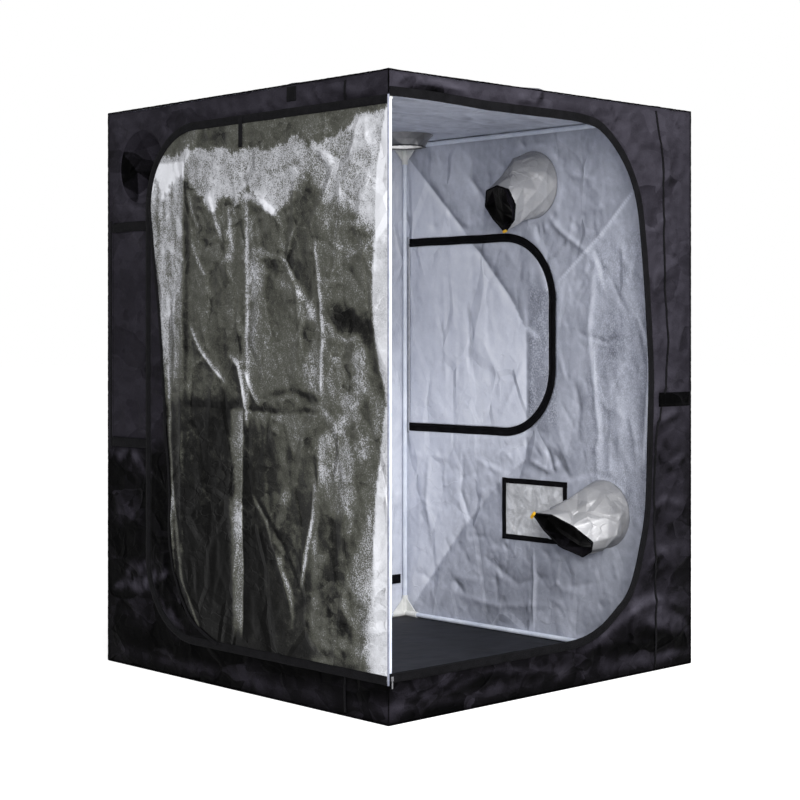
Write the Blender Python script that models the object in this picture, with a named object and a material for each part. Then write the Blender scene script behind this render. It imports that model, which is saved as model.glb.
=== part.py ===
"""Indoor grow tent: a white tube frame inside a reflective fabric cover, with a door that swings round
a front corner, two side windows, four duct sleeves and a screened vent. Metres, +Z up, the origin at the
centre of the base, the door in the front wall at -Y."""

import math
from dataclasses import dataclass

import bmesh
import bpy
from mathutils import Matrix, Quaternion, Vector

# Overall size of the cover
WIDTH = 1.5
DEPTH = 1.5
HEIGHT = 2.0
SHEET = 0.002  # cover fabric with its lining
SEAT = 0.0003  # gap between pieces that touch

# Frame tubes and their corner connectors
TUBE_R = 0.0095
TUBE_WALL = 0.0008
TUBE_SIDES = 12
ARM_R = 0.012
ARM_LENGTH = 0.075
SPIGOT_CLEAR = 0.0005
SPIGOT_LENGTH = 0.035
WEB_THICKNESS = 0.004

# Zip tapes, sliders and hems
ZIP_THICKNESS = 0.0015
SLIDER_THICKNESS = 0.0025
SLIDER_WIDTH = 0.010
SLIDER_HEIGHT = 0.013
PULL_WIDTH = 0.005
PULL_LENGTH = 0.024
HEM_R = 0.0025
HEM_ANGLES = (160, 120, 90, 60, 25)
ARC_STEPS = 8

# Doorway in the front wall: open at the near left corner, rounded on its right side
DOORWAY_RIGHT = 0.48
DOORWAY_LOW = 0.157
DOORWAY_BELOW_TOP = 0.09
DOORWAY_CORNER_R = 0.28
DOORWAY_TAPE = 0.028

# Door: a lined sheet with soft folds inside a stiff zip edge
DOOR_LAP_SIDE = 0.012
DOOR_LAP_TOP = 0.010
DOOR_LAP_BOTTOM = 0.030
DOOR_EDGE = 0.035
DOOR_EDGE_THICKNESS = 0.004
DOOR_FOLD_DEPTH = 0.018
DOOR_SHEET = 0.002
DOOR_COLUMNS = 17
DOOR_ROWS = 18
DOOR_CREASES = (0.316, 0.681, 1.013)  # creases left by the packed door, from its hinge
DOOR_CREASE_WIDTH = 0.075
DOOR_FOLD_FADE = 0.12
DOOR_EDGE_START = 0.006
PIPING_THICKNESS = 0.002
TIE_FROM_HINGE = 0.716
TIE_WIDTH = 0.020
TIE_LENGTH = 0.072
TIE_THICKNESS = 0.0015
TIE_ROWS = 6

# Side windows: D shapes hinged near the rear corners
WINDOW_HINGE_INSET = 0.030
WINDOW_LENGTH = 0.82
WINDOW_LOW_SHARE = 0.3935
WINDOW_HIGH_SHARE = 0.7975
WINDOW_CORNER_R = 0.27
WINDOW_TAPE = 0.036
WINDOW_SHEET = 0.002
WINDOW_SLIDER_Y = 0.40

# Screened vent low in the right wall, with a flap outside it
VENT_FRONT = -0.162
VENT_REAR = 0.1815
VENT_LOW = 0.375
VENT_HIGH = 0.62
VENT_TAPE = 0.022
SCREEN_THICKNESS = 0.001
FLAP_MARGIN = 0.010
FLAP_SHEET = 0.0015
FLAP_HEM_R = 0.002

# Floor liner and small trims
LINER_INSET = 0.030
LINER_THICKNESS = 0.002
TRIM_THICKNESS = 0.0015
TAB_Y = -0.293
TAB_WIDTH = 0.045
TAB_LENGTH = 0.048
TAB_BELOW_TOP = 0.008
PATCH_LEFT = 0.560
PATCH_RIGHT = 0.742
PATCH_LOW = 0.935
PATCH_HIGH = 0.985
STRAP_LENGTH = 0.110
STRAP_LOW = 0.142
STRAP_WIDTH = 0.038
STRAP_FROM_CORNER = 0.032

# Sleeve cloth and cord locks
SLEEVE_CLOTH = 0.0015
SLEEVE_LAP = 0.004
SLEEVE_AROUND = 24
SLEEVE_RINGS = 9
PORT_SIDES = 32
LOCK_R = 0.006
LOCK_LENGTH = 0.015
LOCK_BUTTON_R = 0.0035
LOCK_BUTTON_LENGTH = 0.005
LOCK_SPREAD = 0.024
CUT_OVERRUN = 0.02


# Upper sleeve on the right wall: droops inward, drawn to a point below; angles in degrees
UPPER_PORT_Y = 0.024
UPPER_PORT_BELOW_TOP = 0.22
UPPER_PORT_R = 0.130
UPPER_REACH = 0.180
UPPER_DROP = 0.088
UPPER_DRIFT = 0.0
UPPER_MOUTH_WIDTH = 0.152
UPPER_MOUTH_HEIGHT = 0.168
UPPER_TURNS = (4, 16, 0)
UPPER_TIP_ANGLE = 266
UPPER_TIP_SHARE = 0.24

# Lower sleeve on the right wall: its mouth is a slit that slants up to the rear
LOWER_PORT_Y = -0.34
LOWER_PORT_Z = 0.51
LOWER_PORT_R = 0.125
LOWER_REACH = 0.170
LOWER_DROP = 0.072
LOWER_DRIFT = 0.030
LOWER_MOUTH_WIDTH = 0.244
LOWER_MOUTH_HEIGHT = 0.104
LOWER_TURNS = (25, 23, -36)
LOWER_TIP_ANGLE = 0
LOWER_TIP_SHARE = 0.20

# Left sleeve: drawn nearly shut inside the tent
LEFT_PORT_Y = 0.54
LEFT_PORT_BELOW_TOP = 0.21
LEFT_PORT_R = 0.130
LEFT_REACH = 0.150
LEFT_DROP = 0.045
LEFT_DRIFT = 0.0
LEFT_MOUTH_WIDTH = 0.072
LEFT_MOUTH_HEIGHT = 0.060
LEFT_TURNS = (0, 30, 0)
LEFT_TIP_ANGLE = 270
LEFT_TIP_SHARE = 0.25

# Roof sleeve: a short skirt below its port
ROOF_PORT_X = 0.50
ROOF_PORT_Y = 0.50
ROOF_PORT_R = 0.118
ROOF_REACH = 0.080
ROOF_DROP = 0.0
ROOF_DRIFT = 0.0
ROOF_MOUTH_WIDTH = 0.220
ROOF_MOUTH_DEPTH = 0.212
ROOF_TURNS = (0, 0, 0)
ROOF_TIP_ANGLE = 0
ROOF_TIP_SHARE = 0.03


# Sizes that follow
HALF_X = WIDTH / 2
HALF_Y = DEPTH / 2
INNER_X = HALF_X - SHEET
INNER_Y = HALF_Y - SHEET
WALL_LOW = SHEET + SEAT
WALL_HIGH = HEIGHT - SHEET - SEAT
POLE_X = INNER_X - SEAT - ARM_R
POLE_Y = INNER_Y - SEAT - ARM_R
RAIL_LOW = SHEET + SEAT + ARM_R
RAIL_HIGH = HEIGHT - RAIL_LOW
SPIGOT_R = TUBE_R - TUBE_WALL - SPIGOT_CLEAR
DOOR_GAP = SEAT + ZIP_THICKNESS + SEAT + SLIDER_THICKNESS + SEAT
DOOR_AXIS_OFFSET = DOOR_GAP + DOOR_FOLD_DEPTH / 2
DOOR_AXIS = Vector((-HALF_X - DOOR_AXIS_OFFSET, -HALF_Y - DOOR_AXIS_OFFSET, 0))
DOORWAY_HIGH = HEIGHT - DOORWAY_BELOW_TOP
DOOR_LOW = DOORWAY_LOW - DOOR_LAP_BOTTOM
DOOR_HIGH = DOORWAY_HIGH + DOOR_LAP_TOP
DOOR_LENGTH = DOORWAY_RIGHT + DOOR_LAP_SIDE - DOOR_AXIS.x
WINDOW_HINGE_Y = HALF_Y - WINDOW_HINGE_INSET
WINDOW_LOW = WINDOW_LOW_SHARE * HEIGHT
WINDOW_HIGH = WINDOW_HIGH_SHARE * HEIGHT
UPPER_PORT_Z = HEIGHT - UPPER_PORT_BELOW_TOP
LEFT_PORT_Z = HEIGHT - LEFT_PORT_BELOW_TOP
SHEET_MID_X = HALF_X - SHEET / 2

X_AXIS = Vector((1, 0, 0))
Y_AXIS = Vector((0, 1, 0))
Z_AXIS = Vector((0, 0, 1))


@dataclass
class Sleeve:
    """A cloth duct sleeve: its port in a panel, how far it hangs in and how its mouth is drawn.

    base is the port's middle, inward the way in, up the port's top and turns the mouth's yaw, pitch and
    roll in degrees. The tip and the pleats are shares of the mouth's size.
    """

    base: Vector
    inward: Vector
    up: Vector
    port_r: float
    reach: float
    drop: float
    drift: float
    mouth_width: float
    mouth_height: float
    turns: tuple
    tip_angle: float
    tip_share: float
    pleats: int
    pleat_share: float


def clear_scene():
    for item in list(bpy.data.objects):
        bpy.data.objects.remove(item, do_unlink=True)


def make_material(name, colour, roughness, metallic=0.0):
    material = bpy.data.materials.new(name)
    material.use_nodes = True
    shader = material.node_tree.nodes["Principled BSDF"]
    shader.inputs["Base Color"].default_value = (*colour, 1.0)
    shader.inputs["Roughness"].default_value = roughness
    shader.inputs["Metallic"].default_value = metallic
    return material


def place(name, shape, look, parent=None):
    """Makes an object of a bmesh in world places; under a parent its origin is the parent's."""
    bmesh.ops.recalc_face_normals(shape, faces=shape.faces)
    if parent:
        bmesh.ops.translate(shape, verts=shape.verts, vec=-parent.location)
    mesh = bpy.data.meshes.new(name)
    shape.to_mesh(mesh)
    shape.free()
    item = bpy.data.objects.new(name, mesh)
    bpy.context.collection.objects.link(item)
    if look:
        mesh.materials.append(look)
    item.parent = parent
    return item


def make_axis(name, location):
    """An empty that stands on a joint's axis and carries what moves on it."""
    empty = bpy.data.objects.new(name, None)
    empty.location = location
    bpy.context.collection.objects.link(empty)
    return empty


def smooth(item, angle=40):
    item.data.shade_smooth()
    item.data.set_sharp_from_angle(angle=math.radians(angle))


def prism(outline, axis, low, high):
    """The outline, in the two other axes' order, extruded from low to high along an axis."""
    shape = bmesh.new()
    spots = []
    for a, b in outline:
        spot = {"X": (low, a, b), "Y": (a, low, b), "Z": (a, b, low)}[axis]
        spots.append(shape.verts.new(spot))
    face = shape.faces.new(spots)
    grown = bmesh.ops.extrude_face_region(shape, geom=[face])
    moved = [v for v in grown["geom"] if isinstance(v, bmesh.types.BMVert)]
    step = {"X": X_AXIS, "Y": Y_AXIS, "Z": Z_AXIS}[axis] * (high - low)
    bmesh.ops.translate(shape, verts=moved, vec=step)
    return shape


def rectangle(a0, a1, b0, b1):
    return [(a0, b0), (a1, b0), (a1, b1), (a0, b1)]


def ring_prism(outer, inner, axis, low, high):
    """A closed band between two outlines of as many points."""
    shape = bmesh.new()
    rows = []
    for outline, level in ((outer, low), (inner, low), (inner, high), (outer, high)):
        row = []
        for a, b in outline:
            spot = {"X": (level, a, b), "Y": (a, level, b), "Z": (a, b, level)}[axis]
            row.append(shape.verts.new(spot))
        rows.append(row)
    count = len(outer)
    for row, following in zip(rows, rows[1:] + rows[:1]):
        for i in range(count):
            j = (i + 1) % count
            shape.faces.new((row[i], row[j], following[j], following[i]))
    return shape


def d_outline(hinge, free, low, high, radius):
    """A D: square at the hinge, with round corners at the free side."""
    side = math.copysign(1, free - hinge)
    points = [(hinge, low)]
    for step in range(ARC_STEPS + 1):
        angle = math.radians(90) * step / ARC_STEPS
        out = free - side * radius * (1 - math.sin(angle))
        points.append((out, low + radius * (1 - math.cos(angle))))
    for step in range(ARC_STEPS + 1):
        angle = math.radians(90) * step / ARC_STEPS
        out = free - side * radius * (1 - math.cos(angle))
        points.append((out, high - radius * (1 - math.sin(angle))))
    points.append((hinge, high))
    return points


def c_outline(hinge, free, low, high, radius, width):
    """A band that follows a D's round side and leaves its hinge side open."""
    side = math.copysign(1, free - hinge)
    outer = d_outline(hinge, free, low, high, radius)
    inner = d_outline(hinge, free - side * width, low + width, high - width, radius - width)
    return outer + inner[::-1]


def hinged_sheet(origin, along, across, free, low, high, radius, half, hem_r, columns, rows, fold):
    """A D of sheet with a round hem on its hinge axis, as a grid that a fold bends.

    along points from the hinge to the free edge, across up the hinge; low, high and free are measured
    along them. fold gives the sheet's offset square to both at a place.
    """
    normal = along.cross(across)
    stations = []
    for angle in HEM_ANGLES:
        turn = math.radians(angle)
        stations.append((hem_r * math.cos(turn), hem_r * math.sin(turn)))
    start = stations[-1][0] + hem_r
    for column in range(columns + 1):
        stations.append((start + (free - radius - start) * column / columns, half))
    for step in range(1, ARC_STEPS + 1):
        if radius:
            angle = math.radians(90) * step / ARC_STEPS
            stations.append((free - radius * (1 - math.sin(angle)), half))
    shape = bmesh.new()
    faces = []
    for sign in (1, -1):
        grid = []
        for out, thick in stations:
            over = max(0.0, out - (free - radius))
            rise = radius - math.sqrt(max(0.0, radius * radius - over * over))
            column = []
            for row in range(rows + 1):
                height = low + rise + (high - low - 2 * rise) * row / rows
                offset = fold(out, height) + sign * thick
                spot = origin + along * out + across * height + normal * offset
                column.append(shape.verts.new(spot))
            grid.append(column)
        faces.append(grid)
    upper, lower = faces
    for grid in faces:
        for first, second in zip(grid, grid[1:]):
            for row in range(rows):
                shape.faces.new((first[row], second[row], second[row + 1], first[row + 1]))
    for row in (0, rows):
        for i in range(len(stations) - 1):
            shape.faces.new((upper[i][row], upper[i + 1][row], lower[i + 1][row], lower[i][row]))
    for i in (0, len(stations) - 1):
        for row in range(rows):
            shape.faces.new((upper[i][row], upper[i][row + 1], lower[i][row + 1], lower[i][row]))
    return shape


def flat(out, height):
    return 0.0


def ease(share):
    share = min(1.0, max(0.0, share))
    return share * share * (3 - 2 * share)


def door_fold(out, height):
    """How far the door's cloth stands from its middle plane: standing creases that swell and sink."""
    bulge = 0.0
    for number, crease in enumerate(DOOR_CREASES):
        sign = (-1) ** number
        lean = 0.10 * DOOR_CREASE_WIDTH * math.sin(math.tau * height / DOORWAY_HIGH)
        near = math.exp(-abs(out - crease + lean) / DOOR_CREASE_WIDTH)
        bulge += sign * near * (0.75 + 0.25 * math.cos(math.tau * height / DOORWAY_HIGH + number))
    bulge += 0.35 * math.sin(math.tau * (out / DOOR_LENGTH + height / DOORWAY_HIGH))
    room = min(out - HEM_R - DOOR_EDGE_START, DOOR_LENGTH - DOOR_EDGE - out)
    room = min(room, height - DOOR_LOW - DOOR_EDGE, DOOR_HIGH - DOOR_EDGE - height)
    depth = (DOOR_FOLD_DEPTH - DOOR_SHEET) / 2 - SEAT
    return depth * max(-1.0, min(1.0, bulge)) * ease(room / DOOR_FOLD_FADE)


def tube_shape(length, spigot):
    """An open tube along +Z from the origin, its lower end drawn down to a spigot if one is asked for."""
    bore = TUBE_R - TUBE_WALL
    profile = [(bore, length), (TUBE_R, length), (TUBE_R, 0.0)]
    if spigot:
        neck_bore = SPIGOT_R - TUBE_WALL
        profile += [(SPIGOT_R, 0.0), (SPIGOT_R, -spigot), (neck_bore, -spigot), (neck_bore, 0.0)]
    profile += [(bore, TUBE_WALL if spigot else 0.0)]
    shape = bmesh.new()
    spots = [shape.verts.new((r, 0.0, z)) for r, z in profile]
    for first, second in zip(spots, spots[1:] + spots[:1]):
        shape.edges.new((first, second))
    bmesh.ops.spin(
        shape,
        geom=shape.verts[:] + shape.edges[:],
        cent=(0, 0, 0),
        axis=(0, 0, 1),
        angle=math.tau,
        steps=TUBE_SIDES,
        use_merge=True,
    )
    return shape


def add_tube(name, start, direction, length, spigot, look):
    """A frame tube from its start; the spigot points back from there."""
    shape = tube_shape(length, spigot)
    item = place(name, shape, look)
    item.location = start
    item.rotation_euler = Z_AXIS.rotation_difference(direction).to_euler()
    smooth(item)
    return item


def add_split_run(names, start, direction, length, look):
    """Two tubes in line between two connectors, the second plugged into the first."""
    reach = ARM_LENGTH + SEAT
    middle = length / 2
    add_tube(names[0], start + direction * reach, direction, middle - reach - SEAT, 0.0, look)
    add_tube(names[1], start + direction * middle, direction, middle - reach, SPIGOT_LENGTH, look)


def connector_mesh():
    """Three arms with plug-in spigots and two standing webs, joined to one body."""
    ball = bmesh.new()
    bmesh.ops.create_uvsphere(ball, u_segments=TUBE_SIDES, v_segments=6, radius=ARM_R)
    body = place("connector_body", ball, None)
    extras = []
    for axis in (X_AXIS, Y_AXIS, Z_AXIS):
        turn = Z_AXIS.rotation_difference(axis).to_matrix().to_4x4()
        reach = ARM_LENGTH + SPIGOT_LENGTH
        for radius, length in ((ARM_R, ARM_LENGTH), (SPIGOT_R, reach)):
            rod = bmesh.new()
            bmesh.ops.create_cone(
                rod,
                cap_ends=True,
                segments=TUBE_SIDES,
                radius1=radius,
                radius2=radius,
                depth=length,
                matrix=turn @ Matrix.Translation((0, 0, length / 2)),
            )
            extras.append(place("connector_rod", rod, None))
    triangle = [(0.0, 0.0), (ARM_LENGTH, 0.0), (0.0, ARM_LENGTH)]
    for axis in ("X", "Y"):
        web = prism(triangle, axis, -WEB_THICKNESS / 2, WEB_THICKNESS / 2)
        extras.append(place("connector_web", web, None))
    for extra in extras:
        union = body.modifiers.new("union", "BOOLEAN")
        union.operation = "UNION"
        union.object = extra
    bpy.context.view_layer.update()
    ready = body.evaluated_get(bpy.context.evaluated_depsgraph_get())
    mesh = bpy.data.meshes.new_from_object(ready)
    mesh.name = "corner_connector"
    for item in extras + [body]:
        bpy.data.objects.remove(item, do_unlink=True)
    return mesh


def add_connectors(look):
    mesh = connector_mesh()
    mesh.materials.clear()
    mesh.materials.append(look)
    mesh.shade_smooth()
    mesh.set_sharp_from_angle(angle=math.radians(40))
    corners = (("rear_right", 1, 1, 180), ("rear_left", -1, 1, 270))
    corners += (("front_left", -1, -1, 0), ("front_right", 1, -1, 90))
    for corner, side_x, side_y, turn in corners:
        low = bpy.data.objects.new("connector_bottom_" + corner, mesh)
        low.location = (side_x * POLE_X, side_y * POLE_Y, RAIL_LOW)
        low.rotation_euler = (0, 0, math.radians(turn))
        high = bpy.data.objects.new("connector_top_" + corner, mesh)
        high.location = (side_x * POLE_X, side_y * POLE_Y, RAIL_HIGH)
        high.rotation_euler = (math.radians(180), 0, math.radians(turn + 90))
        for item in (low, high):
            bpy.context.collection.objects.link(item)


def add_frame(look):
    uprights = (("front_left", -1, -1), ("front_right", 1, -1))
    uprights += (("rear_left", -1, 1), ("rear_right", 1, 1))
    for corner, side_x, side_y in uprights:
        start = Vector((side_x * POLE_X, side_y * POLE_Y, RAIL_LOW))
        names = ("upright_lower_" + corner, "upright_upper_" + corner)
        add_split_run(names, start, Z_AXIS, RAIL_HIGH - RAIL_LOW, look)
    for edge, side in (("front", -1), ("rear", 1)):
        start = Vector((-POLE_X, side * POLE_Y, RAIL_HIGH))
        names = (f"top_rail_{edge}_left_half", f"top_rail_{edge}_right_half")
        add_split_run(names, start, X_AXIS, 2 * POLE_X, look)
        start.z = RAIL_LOW
        reach = ARM_LENGTH + SEAT
        foot = start + X_AXIS * reach
        add_tube(f"bottom_rail_{edge}", foot, X_AXIS, 2 * POLE_X - 2 * reach, 0.0, look)
    for edge, side in (("left", -1), ("right", 1)):
        start = Vector((side * POLE_X, -POLE_Y, RAIL_HIGH))
        names = (f"top_rail_{edge}_front_half", f"top_rail_{edge}_rear_half")
        add_split_run(names, start, Y_AXIS, 2 * POLE_Y, look)
        start.z = RAIL_LOW
        reach = ARM_LENGTH + SEAT
        foot = start + Y_AXIS * reach
        add_tube(f"bottom_rail_{edge}", foot, Y_AXIS, 2 * POLE_Y - 2 * reach, 0.0, look)


def cut(item, cutter):
    """Takes a hidden cutter's space out of an object."""
    cutter.hide_render = True
    cutter.display_type = "WIRE"
    difference = item.modifiers.new("cut", "BOOLEAN")
    difference.operation = "DIFFERENCE"
    difference.object = cutter


def port_cutter(name, centre, axis, radius):
    shape = bmesh.new()
    turn = Z_AXIS.rotation_difference(axis).to_matrix().to_4x4()
    bmesh.ops.create_cone(
        shape,
        cap_ends=True,
        segments=PORT_SIDES,
        radius1=radius,
        radius2=radius,
        depth=2 * CUT_OVERRUN,
        matrix=Matrix.Translation(centre) @ turn,
    )
    return place(name, shape, None)


def window_cutter(name, side):
    hinge = WINDOW_HINGE_Y + HEM_R + SEAT
    free = WINDOW_HINGE_Y - WINDOW_LENGTH - SEAT
    outline = d_outline(hinge, free, WINDOW_LOW - SEAT, WINDOW_HIGH + SEAT, WINDOW_CORNER_R + SEAT)
    middle = side * SHEET_MID_X
    shape = prism(outline, "X", middle - CUT_OVERRUN, middle + CUT_OVERRUN)
    return place(name, shape, None)


def add_side_walls(look):
    outline = rectangle(-HALF_Y, HALF_Y, WALL_LOW, WALL_HIGH)
    left = place("left_wall", prism(outline, "X", -HALF_X, -INNER_X), look)
    right = place("right_wall", prism(outline, "X", INNER_X, HALF_X), look)
    cut(left, window_cutter("left_window_cutter", -1))
    cut(right, window_cutter("right_window_cutter", 1))
    left_port = Vector((-SHEET_MID_X, LEFT_PORT_Y, LEFT_PORT_Z))
    cut(left, port_cutter("left_port_cutter", left_port, X_AXIS, LEFT_PORT_R))
    upper_port = Vector((SHEET_MID_X, UPPER_PORT_Y, UPPER_PORT_Z))
    cut(right, port_cutter("upper_port_cutter", upper_port, X_AXIS, UPPER_PORT_R))
    lower_port = Vector((SHEET_MID_X, LOWER_PORT_Y, LOWER_PORT_Z))
    cut(right, port_cutter("lower_port_cutter", lower_port, X_AXIS, LOWER_PORT_R))
    half_tape = VENT_TAPE / 2
    hole = rectangle(VENT_FRONT + half_tape, VENT_REAR - half_tape, VENT_LOW + half_tape, VENT_HIGH - half_tape)
    vent = prism(hole, "X", SHEET_MID_X - CUT_OVERRUN, SHEET_MID_X + CUT_OVERRUN)
    cut(right, place("vent_cutter", vent, None))


def add_end_walls(look):
    reach = INNER_X - SEAT
    doorway = d_outline(-reach, DOORWAY_RIGHT, DOORWAY_LOW, DOORWAY_HIGH, DOORWAY_CORNER_R)
    outline = [(-reach, WALL_LOW), (reach, WALL_LOW), (reach, WALL_HIGH), (-reach, WALL_HIGH)]
    place("front_wall", prism(outline + doorway[::-1], "Y", -HALF_Y, -INNER_Y), look)
    outline = rectangle(-reach, reach, WALL_LOW, WALL_HIGH)
    place("rear_wall", prism(outline, "Y", INNER_Y, HALF_Y), look)


def add_roof_and_floor(cover, liner):
    outline = rectangle(-HALF_X, HALF_X, -HALF_Y, HALF_Y)
    roof = place("roof_panel", prism(outline, "Z", HEIGHT - SHEET, HEIGHT), cover)
    centre = Vector((ROOF_PORT_X, ROOF_PORT_Y, HEIGHT - SHEET / 2))
    cut(roof, port_cutter("roof_port_cutter", centre, Z_AXIS, ROOF_PORT_R))
    place("floor_panel", prism(outline, "Z", 0.0, SHEET), cover)
    reach_x = HALF_X - LINER_INSET
    reach_y = HALF_Y - LINER_INSET
    outline = rectangle(-reach_x, reach_x, -reach_y, reach_y)
    low = SHEET + SEAT
    place("floor_liner", prism(outline, "Z", low, low + LINER_THICKNESS), liner)


def add_doorway_tape(look):
    outline = c_outline(
        -INNER_X + SEAT,
        DOORWAY_RIGHT + DOORWAY_TAPE,
        DOORWAY_LOW - DOORWAY_TAPE,
        DOORWAY_HIGH + DOORWAY_TAPE,
        DOORWAY_CORNER_R + DOORWAY_TAPE,
        DOORWAY_TAPE,
    )
    near = -HALF_Y - SEAT
    place("doorway_zip_band", prism(outline, "Y", near - ZIP_THICKNESS, near), look)


def add_door(silver, tape):
    """The open door against the left wall, on the hinge axis that it shares with its closed place."""
    axis = make_axis("door_hinge_axis", DOOR_AXIS)
    inner = DOOR_EDGE + SEAT
    panel = hinged_sheet(
        DOOR_AXIS,
        Y_AXIS,
        Z_AXIS,
        DOOR_LENGTH - inner,
        DOOR_LOW + inner,
        DOOR_HIGH - inner,
        DOORWAY_CORNER_R - inner,
        DOOR_SHEET / 2,
        HEM_R,
        DOOR_COLUMNS,
        DOOR_ROWS,
        lambda out, height: -door_fold(out, height),
    )
    smooth(place("door_panel", panel, silver, axis), 60)
    start = DOOR_AXIS.y + DOOR_EDGE_START
    free = DOOR_AXIS.y + DOOR_LENGTH
    outline = c_outline(start, free, DOOR_LOW, DOOR_HIGH, DOORWAY_CORNER_R, DOOR_EDGE)
    half = DOOR_EDGE_THICKNESS / 2
    edge = prism(outline, "X", DOOR_AXIS.x - half, DOOR_AXIS.x + half)
    place("door_zip_band", edge, tape, axis)
    place("door_tie_strap", tie_strap(), tape, axis)


def tie_strap():
    """A short strap that lies on the door's lining and follows its folds, below the top edge."""
    top = DOOR_HIGH - DOOR_EDGE - SEAT
    across = TIE_FROM_HINGE - TIE_WIDTH / 2
    shape = bmesh.new()
    rows = []
    for row in range(TIE_ROWS + 1):
        height = top - TIE_LENGTH * row / TIE_ROWS
        ring = []
        for out, thick in ((0, 0), (1, 0), (1, 1), (0, 1)):
            place_out = across + TIE_WIDTH * out
            most = max(door_fold(across, height), door_fold(across + TIE_WIDTH, height))
            off = most + DOOR_SHEET / 2 + 2 * SEAT + TIE_THICKNESS * thick
            spot = DOOR_AXIS + Vector((-off, place_out, height))
            ring.append(shape.verts.new(spot))
        rows.append(ring)
    for first, second in zip(rows, rows[1:]):
        for i in range(4):
            j = (i + 1) % 4
            shape.faces.new((first[i], first[j], second[j], second[i]))
    shape.faces.new(rows[0])
    shape.faces.new(rows[-1])
    return shape


def add_door_piping(tape):
    """The strip that carries the door's hem: it stands on the diagonal out of the front left corner."""
    diagonal = Vector((1, 1, 0)).normalized()
    across = Vector((-1, 1, 0)).normalized()
    reach = DOOR_AXIS_OFFSET * math.sqrt(2)
    half = PIPING_THICKNESS / 2
    outline = []
    for out, side in ((HEM_R + SEAT, -1), (reach - SEAT, -1), (reach - SEAT, 1), (HEM_R + SEAT, 1)):
        spot = DOOR_AXIS + diagonal * out + across * half * side
        outline.append((spot.x, spot.y))
    place("door_hinge_piping", prism(outline, "Z", DOOR_LOW, DOOR_HIGH), tape)


def add_window(name, side, sheet_look, tape):
    hinge = Vector((side * SHEET_MID_X, WINDOW_HINGE_Y, 0))
    axis = make_axis(name + "_hinge_axis", hinge)
    inner = WINDOW_TAPE + SEAT
    panel = hinged_sheet(
        hinge,
        -Y_AXIS,
        Z_AXIS,
        WINDOW_LENGTH - inner,
        WINDOW_LOW + inner,
        WINDOW_HIGH - inner,
        WINDOW_CORNER_R - inner,
        WINDOW_SHEET / 2,
        HEM_R,
        1,
        1,
        flat,
    )
    place(name + "_panel", panel, sheet_look, axis)
    outline = c_outline(
        WINDOW_HINGE_Y + HEM_R,
        WINDOW_HINGE_Y - WINDOW_LENGTH,
        WINDOW_LOW,
        WINDOW_HIGH,
        WINDOW_CORNER_R,
        WINDOW_TAPE,
    )
    half = SHEET / 2 + ZIP_THICKNESS
    middle = side * SHEET_MID_X
    place(name + "_zip_band", prism(outline, "X", middle - half, middle + half), tape)


def slider_outline(centre, level):
    """A zip slider with its pull hanging from it."""
    half = SLIDER_WIDTH / 2
    pull = PULL_WIDTH / 2
    top = level + SLIDER_HEIGHT / 2
    waist = level - SLIDER_HEIGHT / 2
    foot = waist - PULL_LENGTH
    left = [(centre - half, top), (centre - half, waist), (centre - pull, waist)]
    right = [(centre + pull, waist), (centre + half, waist), (centre + half, top)]
    return left + [(centre - pull, foot), (centre + pull, foot)] + right


def add_sliders(look):
    """Each slider rests on the lower run of its zip, on its slide joint's line."""
    level = DOORWAY_LOW - DOORWAY_TAPE / 2
    centre = -INNER_X + SLIDER_WIDTH
    axis = make_axis("door_slider_axis", Vector((centre, -HALF_Y, level)))
    near = -HALF_Y - SEAT - ZIP_THICKNESS - SEAT
    shape = prism(slider_outline(centre, level), "Y", near - SLIDER_THICKNESS, near)
    place("door_zip_slider", shape, look, axis)
    level = WINDOW_LOW + WINDOW_TAPE / 2
    for name, side in (("left_window", -1), ("right_window", 1)):
        near = side * (HALF_X + ZIP_THICKNESS + SEAT)
        far = near + side * SLIDER_THICKNESS
        axis = make_axis(name + "_slider_axis", Vector((near, WINDOW_SLIDER_Y, level)))
        shape = prism(slider_outline(WINDOW_SLIDER_Y, level), "X", min(near, far), max(near, far))
        place(name + "_zip_slider", shape, look, axis)


def add_vent(screen_look, tape, sheet_look):
    outer = rectangle(VENT_FRONT, VENT_REAR, VENT_LOW, VENT_HIGH)
    inner = rectangle(
        VENT_FRONT + VENT_TAPE, VENT_REAR - VENT_TAPE, VENT_LOW + VENT_TAPE, VENT_HIGH - VENT_TAPE
    )
    face = INNER_X - SEAT
    band = ring_prism(outer, inner, "X", face - ZIP_THICKNESS, face)
    place("vent_frame_band", band, tape)
    rim = VENT_TAPE / 2 + SEAT
    outline = rectangle(VENT_FRONT + rim, VENT_REAR - rim, VENT_LOW + rim, VENT_HIGH - rim)
    screen = prism(outline, "X", INNER_X, INNER_X + SCREEN_THICKNESS)
    place("vent_screen", screen, screen_look)
    low = VENT_LOW - FLAP_MARGIN
    rear = VENT_REAR + FLAP_MARGIN
    hinge = Vector((HALF_X + SEAT + FLAP_HEM_R, rear, low))
    axis = make_axis("vent_flap_hinge_axis", hinge)
    flap = hinged_sheet(
        hinge,
        Z_AXIS,
        -Y_AXIS,
        VENT_HIGH + FLAP_MARGIN - low,
        0.0,
        rear - (VENT_FRONT - FLAP_MARGIN),
        0.0,
        FLAP_SHEET / 2,
        FLAP_HEM_R,
        1,
        1,
        flat,
    )
    place("vent_flap", flap, sheet_look, axis)


def mouth_turn(form):
    """The turn from the port's own frame to the mouth's: yaw about up, then pitch, then roll."""
    yaw, pitch, roll = (math.radians(turn) for turn in form.turns)
    turn = Quaternion(form.up, yaw) @ Quaternion(form.inward.cross(form.up), -pitch)
    return turn @ Quaternion(form.inward, roll)


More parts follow.
